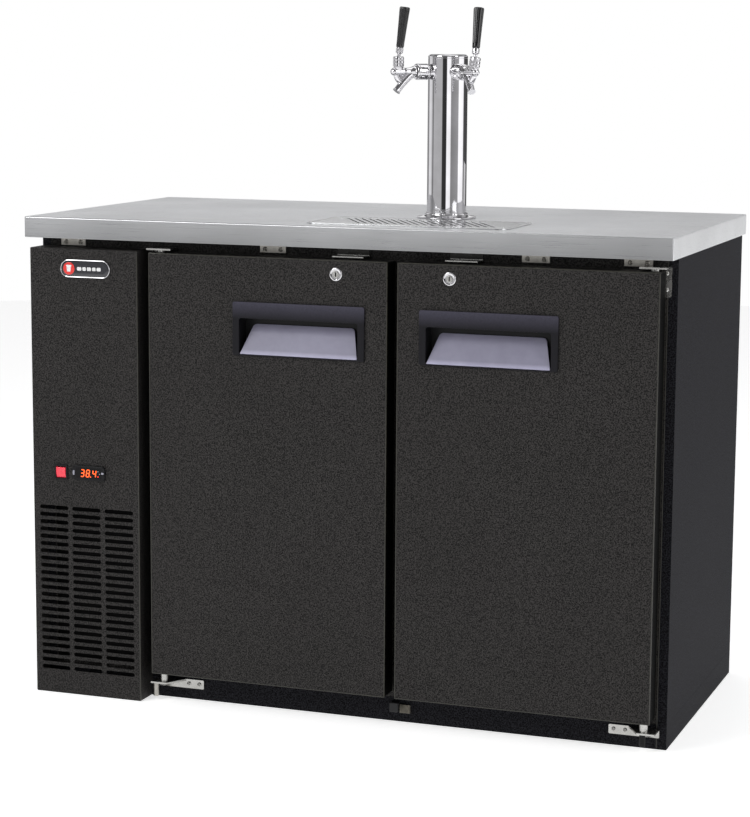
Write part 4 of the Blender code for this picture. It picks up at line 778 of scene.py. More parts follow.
def build_switch():
    """Moulded bezel and a lit rocker with a shallow saddle-shaped face."""
    low, high = corners("switch_frame")
    x0, x1, z0, z1 = low[0], high[0], low[2], high[2]
    x, z = (x0 + x1) / 2, (z0 + z1) / 2
    y = -SKIN_Y
    outer = round_rectangle(x0, z0, x1, z1, 0.0024, 6)
    hole = round_rectangle(x - 0.0098, z - 0.0114, x + 0.0098, z + 0.0114, 0.0010, 4)
    bezel = plate(outer, [hole], rounded_rows(y + GAP, y + 0.0024, 0.0008, 4))
    cup = band(round_rectangle(x0 + 0.002, z0 + 0.002, x1 - 0.002, z1 - 0.002, 0.001, 4),
               [(0, y - 0.024), (0, y + 0.0005), (0.0019, y + 0.0005), (0.0019, y - 0.012)])
    make_piece("switch_bezel", placed(joined(bezel, cup), FRONT), black_moulding(), "cabinet",
               ["switch_frame"])
    pivot = JOINTS["power_rock"]["pos_m"]
    reach = 0.0100
    profile = filleted([(-0.0052, -reach), (-0.0058, -0.0045), (-0.0066, 0.0), (-0.0058, 0.0045),
                        (-0.0052, reach), (0.0006, reach - 0.0012), (0.0026, 0.003),
                        (0.0026, -0.003), (0.0006, -reach + 0.0012)][::-1], 0.0014, 4)
    key = band(free_outline(profile[::-1]), rounded_rows(-0.0094, 0.0094, 0.0009, 3))
    tip = np.array(Matrix.Rotation(math.radians(8), 4, "X"))
    make_piece("lit_rocker", placed(placed(key, SIDE), shift(*pivot) @ tip), lit_rocker(),
               "power_rocker", ["power_rocker"])


SEGMENTS = {"3": "abcdg", "8": "abcdefg", "4": "bcfg"}


def digit_segments(character, width, height):
    """Lit bars of one seven-part digit, as middles and turns: a top, b and c right, d bottom,
    e and f left, g middle."""
    places = {"a": (0, height / 2, 0), "g": (0, 0, 0), "d": (0, -height / 2, 0),
              "b": (width / 2, height / 4, 90), "c": (width / 2, -height / 4, 90),
              "f": (-width / 2, height / 4, 90), "e": (-width / 2, -height / 4, 90)}
    return [places[name] for name in SEGMENTS[character]]


def build_display():
    """Thermostat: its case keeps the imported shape; window, digits and marks are added."""
    dress(black_moulding(), "controller_case")
    dress(pale_ink(), "controller_key_1", "controller_key_2")
    low, high = corners("controller_case")
    x, z = (low[0] + high[0]) / 2, (low[2] + high[2]) / 2
    face = -low[1]
    window = round_rectangle(x - 0.0262, z - 0.0095, x + 0.0262, z + 0.0095, 0.003, 6)
    make_piece("display_window", placed(band(window, rounded_rows(
        face - 0.0004, face + 0.0003, 0.0002, 2)), FRONT), display_glass(), "cabinet")
    width, height, bar = DIGIT
    slope = np.array([[1, 0.12, 0, 0], [0, 1, 0, 0], [0, 0, 1, 0], [0, 0, 0, 1.0]])
    skins = []
    for place, character in enumerate("384"):
        middle = -0.0118 + place * DIGIT_PITCH + (0.0022 if place == 2 else 0.0)
        for dx, dz, turn in digit_segments(character, width, height):
            length = (width if turn == 0 else height / 2) - 0.0006
            outline = slot_outline(dx, dz, length, bar, turn, 2)
            skin = band(outline, [(0, 0), (0, 0.0003)])
            skins.append(placed(skin, shift(middle, 0, 0) @ slope))
    dot = band(round_outline(0.0048, -height / 2, 0.0011, 16), [(0, 0), (0, 0.0003)])
    skins.append(dot)
    lit = placed(joined(*skins), FRONT @ shift(x, z, face + 0.0003))
    make_piece("display_digits", lit, lit_digit(), "cabinet")
    lamp = band(round_outline(x + 0.0200, z - 0.0052, 0.0013, 16),
                [(0, face + 0.0002), (0.0003, face + 0.0007)])
    make_piece("display_lamp", placed(lamp, FRONT), red_dot(), "cabinet")
    marks = [band(round_outline(x + dx, z + dz, 0.0010, 12), [(0, face + 0.0002),
                                                             (0, face + 0.0005)])
             for dx, dz in ((0.0200, 0.0045), (0.0232, 0.0000))]
    make_piece("display_marks", placed(joined(*marks), FRONT), pale_ink(), "cabinet")


def build_handle(side):
    """Recessed door handle: rounded frame, thick grip bar, dark tub and a pale sloping floor
    that narrows towards the back."""
    (x0, _, z0), (x1, back, z1) = HANDLE[side]
    body, slot = side + "_door", "handle_plastic"
    y = -SKIN_Y
    sill, lintel = z0 + HANDLE_SILL, z1 - HANDLE_BAR
    left, right = x0 + HANDLE_JAMB, x1 - HANDLE_JAMB
    outer = round_rectangle(x0, z0, x1, z1, 0.004, 8)
    mouth = round_rectangle(left, sill, right, lintel, 0.0042, 8)
    shell = plate(outer, [mouth], rounded_rows(y + GAP, y + HANDLE_PROUD, 0.0009, 4))
    grip = band(round_rectangle(left - 0.004, lintel + 0.0002, right + 0.004, z1 - 0.009, 0.003, 6),
                rounded_rows(y - 0.0075, y + 0.002, 0.0028, 5))
    make_piece(side + "_handle_frame", placed(joined(shell, grip), FRONT), handle_moulding(),
               body, [side + "_door_handle"])
    tub = band(round_rectangle(left - 0.0018, z0 + 0.0015, right + 0.0018, z1 - 0.0065, 0.005, 6),
               [(0, -back), (0, y), (0.0014, y), (0.0014, -back + 0.0016)])
    make_piece(side + "_handle_tub", placed(tub, FRONT), black_moulding(), body)
    # The floor's own plane: X across, Y up the slope, Z out of it.
    foot = np.array([0.0, SKIN_Y - 0.0030, sill + 0.0008])
    head = np.array([0.0, back - 0.0040, lintel - 0.0125])
    slope = (head - foot) / np.linalg.norm(head - foot)
    rise = np.linalg.norm(head - foot)
    taper = 0.0170
    floor = filleted([(left + 0.001, 0), (right - 0.001, 0), (right - taper, rise),
                      (left + taper, rise)], [0.0005, 0.0005, 0.007, 0.007], 6)
    skin = band(free_outline(floor), rounded_rows(-0.0016, 0.0, 0.0005, 2))
    matrix = axes((1, 0, 0), slope, np.cross((1, 0, 0), slope), foot)
    make_piece(side + "_handle_floor", placed(skin, matrix), scoop_moulding(), body)


def build_lock(side):
    """Cam lock: a bright rosette with a turned lip, and a plug with a key slot."""
    pivot = np.array(JOINTS[side + "_lock_turn"]["pos_m"])
    matrix = shift(*pivot) @ FRONT
    rosette = filleted([(0.0063, -0.0190), (0.0095, -0.0190), (0.0095, 0.0003), (0.0120, 0.0003),
                        (0.0119, 0.0016), (0.0104, 0.0024), (0.0080, 0.0018), (0.0063, 0.0018)],
                       [0, 0, 0, 0.0003, 0.001, 0.0012, 0.0008, 0.0003], 5)
    make_piece(side + "_lock_rosette", placed(turned(rosette, 72, wrap=True), matrix), chrome(),
               side + "_door", [side + "_lock_barrel"])
    key = round_rectangle(-0.0010, -0.0040, 0.0010, 0.0040, 0.0006, 4)
    disc = plate(round_outline(0, 0, 0.0060, 48), [key], rounded_rows(-0.001, 0.0026, 0.0004, 3))
    core = turned([(0.0059, -0.020), (0.0059, -0.001)], 32)
    cam = turned([(0.0080, -0.023), (0.0080, -0.020)], 32)
    throw = CAM_THROW * math.sqrt(0.5)      # the pin rests an eighth of a turn down
    crank = placed(turned([(0.0015, -0.0305), (0.0015, -0.022)], 20), shift(throw, -throw))
    make_piece(side + "_lock_core", placed(joined(disc, core, cam, crank), matrix),
               pressed_stainless(), side + "_lock_plug",
               [side + "_lock_plug"])
    # A black block in the key slot: painted shade for the slot's depth.
    slot = band(round_rectangle(-0.0009, -0.0039, 0.0009, 0.0039, 0.0005, 4),
                [(0, -0.0009), (0, 0.0014)])
    make_piece(side + "_key_slot", placed(slot, matrix), black_moulding(),
               side + "_lock_plug")
    dress(zinc_plate(), side + "_lock_bolt")


def build_seal(side):
    """Magnetic seal: a closed section with a bellows fold, carried round the door."""
    (x0, front, z0), (x1, back, z1) = GASKET[side]
    middle, wide, deep = (front + back) / 2, 0.0130, back - front
    t = np.linspace(0, 2 * np.pi, 20, endpoint=False)
    # A rounded box whose sides pull in halfway: x = a*sgn*|cos|^0.6, y = b*sgn*|sin|^0.6.
    along_x = np.sign(np.cos(t)) * np.abs(np.cos(t)) ** 0.6
    along_y = np.sign(np.sin(t)) * np.abs(np.sin(t)) ** 0.6
    pull = 1 - 0.18 * (1 - along_y ** 2)
    rows = np.stack([wide / 2 - wide / 2 * along_x * pull,
                     -middle + deep / 2 * along_y], -1)
    ring = band(round_rectangle(x0, z0, x1, z1, 0.010, 10), rows, wrap=True)
    make_piece(side + "_door_seal", placed(ring, FRONT), soft_seal(), side + "_door",
               [side + "_door_gasket"])


def build_door_liner(side):
    """Pressed steel inside of a door, within the seal, with a raised field."""
    (x0, _, z0), (x1, _, z1) = GASKET[side]
    start = DOOR[side][1][1]
    inner = 0.0145
    field = round_rectangle(x0 + inner, z0 + inner, x1 - inner, z1 - inner, 0.032, 12)
    rows = [(0, start), (0, start + 0.0010), (0.0006, start + 0.0016), (0.020, start + 0.0016),
            (0.024, start + 0.0050), (0.0255, start + 0.0056)]
    make_piece(side + "_door_liner", placed(band(field, rows), INWARD), satin_stainless(),
               side + "_door")


def screw_group(places, radius, height):
    """Screw heads at (point, outward direction) pairs, as one skin."""
    head = screw_head(radius, height)
    return joined(*(placed(head, along(direction, point)) for point, direction in places))


def build_brackets():
    """Hinges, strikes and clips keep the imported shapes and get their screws."""
    steel = pressed_stainless()
    out = (0.0, -1.0, 0.0)
    places = []
    for number in range(1, 5):
        low, high = corners("top_clip_{}".format(number))
        middle, z = (low[0] + high[0]) / 2, low[2] + 0.0062
        face = high[1] - 0.0022
        places += [((middle + dx, face, z), out) for dx in (-0.0150, 0.0150)]
    make_piece("clip_screws", screw_group(places, 0.0042, 0.0022), zinc_plate(), "cabinet")
    places = []
    for side, way in (("left", 1), ("right", -1)):
        dress(steel, side + "_upper_hinge", side + "_lower_hinge")
        dress(strike_steel(), side + "_strike_plate")
        pivot = JOINTS[side + "_door_hinge"]["pos_m"]
        low, high = corners(side + "_upper_hinge")
        x = pivot[0] - way * 0.015
        face = high[1] - 0.0025
        places += [((x, face, high[2] - dz), out) for dz in (0.0125, 0.0405)]
        z = corners(side + "_lower_hinge")[0][2] + 0.0088
        places += [((pivot[0] + way * dx, face, z), out) for dx in (0.0390, 0.0600)]
    make_piece("bracket_screws", screw_group(places, 0.0040, 0.0021), steel, "cabinet")


def build_base_fittings():
    """A ribbed keeper with its rubber buffer on the base rail, and a stub post under each
    lower hinge."""
    y = -FACE_Y
    middle = (DOOR["left"][1][0] + DOOR["right"][0][0]) / 2
    x0 = middle + 0.0045
    count = 9
    rib = np.linspace(0, 1, 6 * count + 1)
    depth = 0.0062 + 0.0012 * np.cos(2 * np.pi * count * rib)
    crest = np.stack([x0 + 0.020 * rib, y + depth], -1)
    plan = np.concatenate([[(x0 + 0.020, y + GAP), (x0, y + GAP)][::-1], crest[::-1]])
    keeper = band(free_outline(plan), [(0, 0.0180), (0, 0.0335)])
    make_piece("door_keeper", placed(keeper, np.diag([1, -1, 1, 1.0])), zinc_plate(), "cabinet")
    block = band(round_rectangle(x0 - 0.0175, 0.0200, x0 - 0.0008, 0.0385, 0.003, 6),
                 rounded_rows(y + GAP, y + 0.0150, 0.002, 4))
    make_piece("door_buffer", placed(block, FRONT), soft_seal(), "cabinet")
    # The right stub is black where the left is zinc: painted shade, as it stands in shadow.
    for side, offset, low, material in (("left", -0.017, 0.0080, zinc_plate()),
                                        ("right", -0.002, 0.0120, black_moulding())):
        x, depth, _ = JOINTS[side + "_door_hinge"]["pos_m"]
        under = corners(side + "_lower_hinge")[0][2] + 0.0140 - GAP
        stub = turned([(0.0050, low), (0.0056, low + 0.0006), (0.0056, under)], 32)
        make_piece(side + "_hinge_stub", placed(stub, shift(x + offset, depth)), material,
                   "cabinet")


def build_drip_tray():
    """Pressed pan with a rolled rim, and a lift-out grate with slanting slots."""
    (x0, y0, z0), (x1, y1, z1) = PAN
    lip, wall, step = PAN_LIP, PAN_LIP + 0.0012, PAN_LIP + 0.0042
    seat = WORKTOP[1][2] + GAP
    ledge = GRATE[0][2] - GAP
    rows = filleted([(lip + 0.004, z0), (lip, z0), (lip, seat), (0.0, seat), (0.0, z1),
                     (wall, z1), (wall, ledge), (step, ledge), (step, z0 + 0.0012),
                     (step + 0.006, z0 + 0.0012)],
                    [0, 0.003, 0.0003, 0.0003, 0.0014, 0.0005, 0.0003, 0.0004, 0.004, 0], 4,
                    closed=False)
    rim = round_rectangle(x0, y0, x1, y1, PAN_CORNER, 12)
    make_piece("drip_bowl", band(rim, rows), polished_tray(), "cabinet",
               ["drip_pan"])
    (gx0, gy0, gz0), (gx1, gy1, gz1) = GRATE
    middle_x, middle_y = (gx0 + gx1) / 2, (gy0 + gy1) / 2
    width, pitch = TRAY_SLOT
    slant = math.radians(TRAY_SLANT)
    length = (y1 - y0 - 0.052) / math.sin(slant)
    # Slots fill the grate's half width, less its border and the slanting slot's own reach.
    room = (x1 - x0) / 2 - 0.00825 - length / 2 * abs(math.cos(slant)) - 0.016
    count = int(2 * room / pitch) + 1
    holes = [slot_outline(middle_x + pitch * (i - (count - 1) / 2), middle_y, length, width,
                          TRAY_SLANT) for i in range(count)]
    holes += [round_outline(middle_x + side * ((x1 - x0) / 2 - 0.020), middle_y + row * 0.049,
                            0.005, 32) for side in (-1, 1) for row in (-1, 1)]
    outer = round_rectangle(gx0, gy0, gx1, gy1, 0.0125, 8)
    grate = plate(outer, holes, rounded_rows(gz0, gz1, 0.0006, 3))
    make_piece("drip_grill", grate, polished_tray(), "drip_grate",
               ["drip_grate"])


def build_tower():
    """Draft tower: spun flange with a ring of domed rivets, mirror column and cap."""
    place = shift(TOWER[0], TOWER[1])
    r, hole = COLUMN_RADIUS, COLUMN_RADIUS + GAP
    z = FLANGE[0][2]
    wide = (FLANGE[1][0] - FLANGE[0][0]) / 2
    profile = filleted([(hole, z), (wide, z), (wide, z + 0.0026), (r + 0.0075, z + 0.0036),
                        (r + 0.0034, z + 0.0060), (r + 0.0030, z + 0.0100), (hole, z + 0.0100)],
                       [0, 0.0004, 0.0016, 0.004, 0.003, 0.0010, 0.0002], 6)
    rivets = []
    for turn in np.radians(np.arange(0, 360, 30) + 10):
        out = np.array([math.cos(turn), math.sin(turn), 0.0])
        centre = np.array([TOWER[0], TOWER[1], z + 0.0072]) + out * (r + 0.0026)
        rivets.append(placed(turned([(0.0024, 0.0), (0.0021, 0.0009), (0.0012, 0.0015),
                                     (0.0003, 0.0017)], 12), along(out, centre)))
    flange = joined(placed(turned(profile, 128, wrap=True), place), *rivets)
    make_piece("flange_ring", flange, chrome(), "cabinet", ["tower_flange"])
    low, high = COLUMN[0][2], COLUMN[1][2]
    tube = filleted([(r - SHEET, low), (r, low), (r, high), (r - SHEET, high)], 0.0003, 3)
    make_piece("mirror_column", placed(turned(tube, 160, wrap=True), place), chrome(), "cabinet",
               ["tower_column"])
    top, skirt = CAP[1][2], r - SHEET - GAP
    lid = filleted([(skirt, CAP[0][2]), (skirt, high + GAP), (r, high + GAP), (r, top - 0.0024),
                    (r - 0.0040, top), (0.004, top)], [0, 0, 0.0003, 0.0022, 0.004, 0], 6,
                   closed=False)
    make_piece("mirror_cap", placed(turned(lid, 160), place), chrome(), "cabinet",
               ["tower_cap"])


def faucet_frame(side):
    """A faucet's frame from its lever's joint: Y along the joint, X level and outwards."""
    joint = JOINTS[side + "_tap_pull"]
    y = np.array(joint["axis"], float)
    y /= np.linalg.norm(y)
    x = np.cross(y, (0, 0, 1.0))
    x /= np.linalg.norm(x)
    z = np.cross(x, y)
    pivot = np.array(joint["pos_m"])
    return axes(x, y, z, pivot - LEVER_X * x - LEVER_LIFT * z)


def notches(angle, height):
    """Six shallow spanner notches round the nut's middle."""
    middle = np.clip((height - COLLAR_END - 0.004) / 0.001, 0, 1)
    middle = middle * np.clip((NUT_END - 0.0060 - height) / 0.001, 0, 1)
    return 1 - 0.075 * middle * np.clip(np.cos(6 * angle) * 6 - 4.2, 0, 1)


def build_shank(side, place):
    """Collar against the column, and the notched coupling nut."""
    out = place @ ALONG_X
    collar = filleted([(0.0139, 0.031), (0.0140, COLLAR_END - 0.0004), (0.0126, COLLAR_END),
                       (0.0105, COLLAR_END + GAP), (0.0105, COLLAR_END + 0.008)],
                      [0, 0.001, 0.0006, 0.0003, 0], 5, closed=False)
    make_piece(side + "_shank_collar", placed(turned(collar, 72), out), chrome(), "cabinet",
               [side + "_faucet_shank"])

    start = COLLAR_END + GAP
    nut = filleted([(0.0113, start), (0.0135, start), (0.0148, start + 0.0020),
                    (0.0148, start + 0.0035), (0.0142, start + 0.0040), (0.0148, start + 0.0045),
                    (0.0148, start + 0.0090), (0.0148, NUT_END - 0.0062),
                    (0.0148, NUT_END - 0.0055), (0.0142, NUT_END - 0.0050),
                    (0.0148, NUT_END - 0.0045), (0.0148, NUT_END - 0.0025), (0.0132, NUT_END),
                    (0.0092, NUT_END), (0.0092, NUT_END - 0.004), (0.0113, NUT_END - 0.004)],
                   [0, 0.0006, 0.0012, 0.0003, 0.0005, 0.0003, 0, 0, 0.0003, 0.0005, 0.0003,
                    0.0012, 0.001, 0.0004, 0, 0], 3)
    make_piece(side + "_nut", placed(turned(nut, 144, wrap=True, flute=notches), out), chrome(),
               "cabinet", [side + "_coupling_nut"])


def build_faucet_body(side, place):
    """Barrel, grooved bonnet, web, and a slanting spout with the neck that joins it."""
    barrel = filleted([(0.0086, NUT_END - 0.005), (0.0086, NUT_END + 0.0005),
                       (0.0106, NUT_END + 0.0012), (0.0106, NUT_END + 0.0040),
                       (0.0074, NUT_END + 0.0110), (0.0070, LEVER_X - 0.014),
                       (0.0076, LEVER_X - 0.010), (0.0076, LEVER_X + 0.008),
                       (0.0066, LEVER_X + 0.0118), (0.0030, LEVER_X + 0.0152),
                       (0.0004, LEVER_X + 0.0155)],
                      [0, 0.0003, 0.0005, 0.002, 0.004, 0.004, 0.001, 0.002, 0.002, 0.002, 0],
                      5, closed=False)
    bonnet = filleted([(0.0070, -0.003), (0.0080, 0.0030), (0.0086, 0.0070), (0.0088, 0.0090),
                       (0.0100, 0.0098), (0.0100, 0.0140), (0.0094, 0.0145), (0.0100, 0.0150),
                       (0.0100, 0.0202), (0.0092, 0.0208), (0.0100, 0.0214), (0.0099, 0.0262),
                       (0.0090, 0.0275), (0.0072, 0.0275), (0.0064, 0.0250)],
                      [0, 0.002, 0.002, 0.0003, 0.0005, 0.0003, 0.0004, 0.0003, 0.0003, 0.0004,
                       0.0005, 0.0008, 0.0006, 0.0006, 0], 4, closed=False)
    tip_x, tip_z = SPOUT_TIP
    t = np.linspace(0, 1, 28)
    # The spout leaves the barrel behind the nut on a slant and droops towards its mouth: the
    # straight line between its ends plus a sine's half wave.
    spout_path = np.stack([NUT_END + 0.0045 + (tip_x - NUT_END - 0.0045) * t, 0 * t,
                           -0.002 + (tip_z + 0.002) * t + 0.0022 * np.sin(np.pi * t)], -1)
    spout_radius = 0.0072 - 0.0008 * t + 0.0009 * np.clip((t - 0.955) / 0.02, 0, 1)
    # The neck curves from the bonnet's foot back into the spout.
    neck_start = np.array([LEVER_X + 0.004, 0, -0.003])
    neck_pull = np.array([LEVER_X + 0.003, 0, -0.016])
    neck_end = spout_path[17]
    s = np.linspace(0, 1, 20)[:, None]
    neck = (1 - s) ** 2 * neck_start + 2 * s * (1 - s) * neck_pull + s ** 2 * neck_end
    web = free_outline(filleted([(NUT_END + 0.008, -0.004), (NUT_END + 0.022, -0.026),
                                 (LEVER_X + 0.002, -0.012), (LEVER_X + 0.002, -0.004)],
                                0.001, 3))
    body = joined(placed(turned(barrel, 72), ALONG_X), placed(turned(bonnet, 72), shift(LEVER_X)),
                  swept(spout_path, spout_radius, 40),
                  swept(neck, np.linspace(0.0058, 0.0046, 20), 32),
                  placed(band(web, [(0, -0.0016), (0, 0.0016)]), FRONT))
    make_piece(side + "_faucet", placed(body, place), chrome(), "cabinet",
               [side + "_faucet_body"])


def flutes(angle, height):
    """Eight flutes that deepen from the foot and run out over the end."""
    depth = 0.075 * np.clip((height - 0.0215) / 0.010, 0, 1)
    return 1 - depth * (0.5 - 0.5 * np.cos(8 * angle)) ** 1.6


def build_lever(side, place):
    """Ball lever and its fluted grip, which lean outwards at rest."""
    lean = np.array(Matrix.Rotation(-LEVER_LEAN, 4, "Y"))
    hinge = place @ shift(LEVER_X, 0, LEVER_LIFT) @ lean
    arc = np.radians(np.linspace(-86, 52, 18))
    ball = np.stack([0.0055 * np.cos(arc), 0.0055 * np.sin(arc)], -1)
    stem = filleted([(0.0031, 0.0045), (0.0031, 0.0078), (0.0052, 0.0092), (0.0066, 0.0100),
                     (0.0066, 0.0118), (0.0060, 0.0123), (0.0066, 0.0128), (0.0066, 0.0184),
                     (0.0060, 0.0193), (0.0040, 0.0193), (0.0040, 0.0318)],
                    [0, 0.001, 0.001, 0.0004, 0.0003, 0.0004, 0.0003, 0.0005, 0.0005, 0, 0], 4,
                    closed=False)
    make_piece(side + "_lever", placed(turned(np.concatenate([ball, stem]), 48), hinge),
               chrome(), side + "_lever", [side + "_faucet_lever"])

    z = np.linspace(0.0235, 0.0905, 24)
    swell = 0.0072 + 0.0026 * ((z - 0.0235) / 0.067) ** 1.15
    grip = np.concatenate([[(0.0042, 0.0197), (0.0060, 0.0197), (0.0067, 0.0203),
                            (0.0070, 0.0215)], np.stack([swell, z], -1),
                           [(0.0094, 0.0920), (0.0084, 0.0928), (0.0060, 0.0930),
                            (0.0004, 0.0930)]])
    make_piece(side + "_grip", placed(turned(grip, 128, flute=flutes), hinge), tap_grip(),
               side + "_lever", [side + "_tap_handle"])


def build_faucet(side):
    """A chrome faucet on its shank."""
    place = faucet_frame(side)
    build_shank(side, place)
    build_faucet_body(side, place)
    build_lever(side, place)


def fan_skin(radius, hub, blades, chord, depth):
    """Hub with a rounded nose, and blades: at each radius an oval section, turned from 38
    degrees at the hub to 20 at the tip, and swept back by the square of the radius."""
    nose = filleted([(hub, -0.007), (hub, 0.0080), (hub * 0.55, 0.0098), (0.0006, 0.0100)],
                    [0, 0.003, 0.003, 0], 5, closed=False)
    t = np.linspace(0, 1, 14)[:, None]
    around = np.linspace(0, 2 * np.pi, 20, endpoint=False)[None]
    reach = hub * 0.8 + (radius - hub * 0.8) * t
    pitch = np.radians(38 - 18 * t)
    across = chord * (0.75 + 0.35 * t) / 2 * np.cos(around)
    thick = depth / 2 * np.sin(around)
    swing = 0.30 * t ** 2
    side = across * np.cos(pitch) - thick * np.sin(pitch)
    lift = across * np.sin(pitch) + thick * np.cos(pitch)
    x = reach * np.cos(swing) - side * np.sin(swing)
    y = reach * np.sin(swing) + side * np.cos(swing)
    blade = grid_skin(np.stack([x, y, lift], -1))
    turns = [np.array(Matrix.Rotation(2 * math.pi * i / blades, 4, "Z")) for i in range(blades)]
    return joined(turned(nose, 48), *(placed(blade, turn) for turn in turns))


def build_machine():
    """Machine compartment and cold-air parts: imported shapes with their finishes, and fans with
    twisted blades."""
    dress(rolled_fin(), "evaporator_coil")
    # The condenser is darkened almost to black: painted shade behind the louvres.
    dress(coil_lacquer_and_shade(), "condenser_coil")
    dress(machine_enamel(), "compressor", "fan_motor")
    dress(drawn_copper(), "refrigerant_line")
    for body, radius, hub, chord in (("condenser_fan", 0.070, 0.017, 0.034),
                                     ("evaporator_fan", 0.0445, 0.012, 0.022)):
        joint = JOINTS[body + "_spin"]
        matrix = along(joint["axis"], joint["pos_m"])
        make_piece(body + "_wheel", placed(fan_skin(radius, hub, 5, chord, 0.0018), matrix),
                   fan_nylon(), body, [body])


# ---- stage ---------------------------------------------------------------------------------
CAMERA_PLACE = (1.45832, -4.12752, 1.21042)
CAMERA_YAW, CAMERA_PITCH, CAMERA_ROLL = (math.radians(a) for a in (19.8623, 8.77475, 0.36058))
CAMERA_LENS = 102.44                        # in millimetres, on a 36 mm frame's longer side
# Brightness round the studio by compass angle, as seen low down in mirror surfaces: soft boxes
# with dark gaps between them.
BANDS = ((-180, 1.00), (-161, 0.12), (-158, 0.62), (-104, 0.60), (-101, 0.05), (-78, 0.04),
         (-75, 1.50), (-54, 1.40), (-51, 0.34), (-6, 0.46), (-3, 1.60), (32, 1.40), (36, 0.10),
         (104, 0.06), (110, 0.34), (154, 0.30), (158, 1.00), (180, 1.00))
# Brightness of the same studio by the height of the direction: wall, dark shelf, ceiling.
SHELVES = ((0.0, 1.20), (0.25, 1.20), (0.28, 0.10), (0.42, 0.12), (0.47, 0.60), (0.62, 0.7),
           (0.70, 0.30), (0.80, 0.35), (0.90, 0.60))

HORIZON = (0.07, 0.12)                      # heights between which the bands give way to it
# Soft boxes: name, place, what they face, width and height, share of the key light's power.
SOFT_BOXES = (("key_box", (-2.4, -3.4, 3.2), (0, 0, 0.6), (2.2, 2.2), 1.0),
              ("fill_box", (3.6, -1.6, 2.4), (0.3, 0, 0.5), (1.8, 2.2), 0.35),
              ("top_box", (0.2, 0.4, 3.6), (0, 0, 0.9), (2.6, 1.8), 0.2),
              ("edge_box", (1.05, 1.25, 0.79), (0.61, 0.0, 0.90), (0.7, 0.28), 0.0046))
FLOOR_REACH = 7.0
FLOOR_GLOW = 0.62                           # lifts the floor to the white behind it


def build_camera():
    """Camera from its place, its compass turn, tilt and roll, and its lens."""
    yaw, pitch, roll = CAMERA_YAW, CAMERA_PITCH, CAMERA_ROLL
    forward = Vector((-math.sin(yaw) * math.cos(pitch), math.cos(yaw) * math.cos(pitch),
                      -math.sin(pitch)))
    right = Vector((math.cos(yaw), math.sin(yaw), 0))
    up = right.cross(forward)
    level = right * math.cos(roll) + up * math.sin(roll)
    upright = up * math.cos(roll) - right * math.sin(roll)
    data = bpy.data.cameras.new("studio_camera")
    data.lens = CAMERA_LENS
    data.sensor_width = 36.0
    camera = bpy.data.objects.new("studio_camera", data)
    camera.matrix_world = Matrix((level, upright, -forward)).transposed().to_4x4()
    camera.location = CAMERA_PLACE
    bpy.context.scene.collection.objects.link(camera)
    bpy.context.scene.camera = camera


def fill_ramp(ramp, levels):
    """Set a colour ramp to greys, as (position, level) from dark to bright."""
    while len(ramp.elements) > 1:
        ramp.elements.remove(ramp.elements[-1])
    for number, (position, level) in enumerate(levels):
        stop = ramp.elements[0] if number == 0 else ramp.elements.new(position)
        stop.position = position
        stop.color = (level, level, level * 1.01, 1)


def build_studio_air():
    """Soft light from all round: banded low down, even and bright above, white to the eye."""
    world = bpy.data.worlds.new("studio")
    bpy.context.scene.world = world
    world.use_nodes = True
    tree = world.node_tree
    tree.nodes.clear()
    direction = add_node(tree, "TexCoord").outputs["Generated"]
    parts = add_node(tree, "SeparateXYZ", {"Vector": direction})
    compass = add_node(tree, "Math", {0: parts.outputs["Y"], 1: parts.outputs["X"]},
                       operation="ARCTAN2")
    turn = add_node(tree, "MapRange", {"Value": compass.outputs["Value"],
                                       "From Min": -math.pi, "From Max": math.pi})
    ramp = add_node(tree, "ValToRGB", {"Fac": turn.outputs["Result"]})
    fill_ramp(ramp.color_ramp, [((angle + 180) / 360, level) for angle, level in BANDS])
    rise = add_node(tree, "MapRange", {"Value": parts.outputs["Z"], "From Min": HORIZON[0],
                                       "From Max": HORIZON[1]})
    height = add_node(tree, "ValToRGB", {"Fac": parts.outputs["Z"]})
    above = bpy.context.scene.kegerator_stage.sky
    fill_ramp(height.color_ramp, [(place, level * above) for place, level in SHELVES])
    front = add_node(tree, "MapRange", {"Value": parts.outputs["Y"], "From Min": -0.15,
                                        "From Max": 0.25, "To Min": 0.5, "To Max": 1.0})
    wall = add_node(tree, "VectorMath", {0: height.outputs["Color"]}, operation="SCALE")
    tree.links.new(front.outputs["Result"], wall.inputs["Scale"])
    mixed = add_node(tree, "Mix", {0: rise.outputs["Result"], 6: ramp.outputs["Color"],
                                   7: wall.outputs["Vector"]}, data_type="RGBA").outputs[2]
    lit = add_node(tree, "Background", {"Color": mixed})
    seen = add_node(tree, "Background", {"Color": (1, 1, 1, 1)})
    eye = add_node(tree, "LightPath").outputs["Is Camera Ray"]
    both = add_node(tree, "MixShader", {0: eye, 1: lit.outputs[0], 2: seen.outputs[0]})
    add_node(tree, "OutputWorld", {"Surface": both.outputs[0]})


def add_soft_box(name, place, target, size, power):
    """A rectangular lamp that faces a target and can't be seen itself."""
    data = bpy.data.lights.new(name, "AREA")
    data.shape = "RECTANGLE"
    data.size, data.size_y = size
    data.energy = power
    lamp = bpy.data.objects.new(name, data)
    lamp.location = place
    lamp.visible_camera = False
    lamp.rotation_euler = (Vector(target) - Vector(place)).to_track_quat("-Z", "Y").to_euler()
    bpy.context.scene.collection.objects.link(lamp)


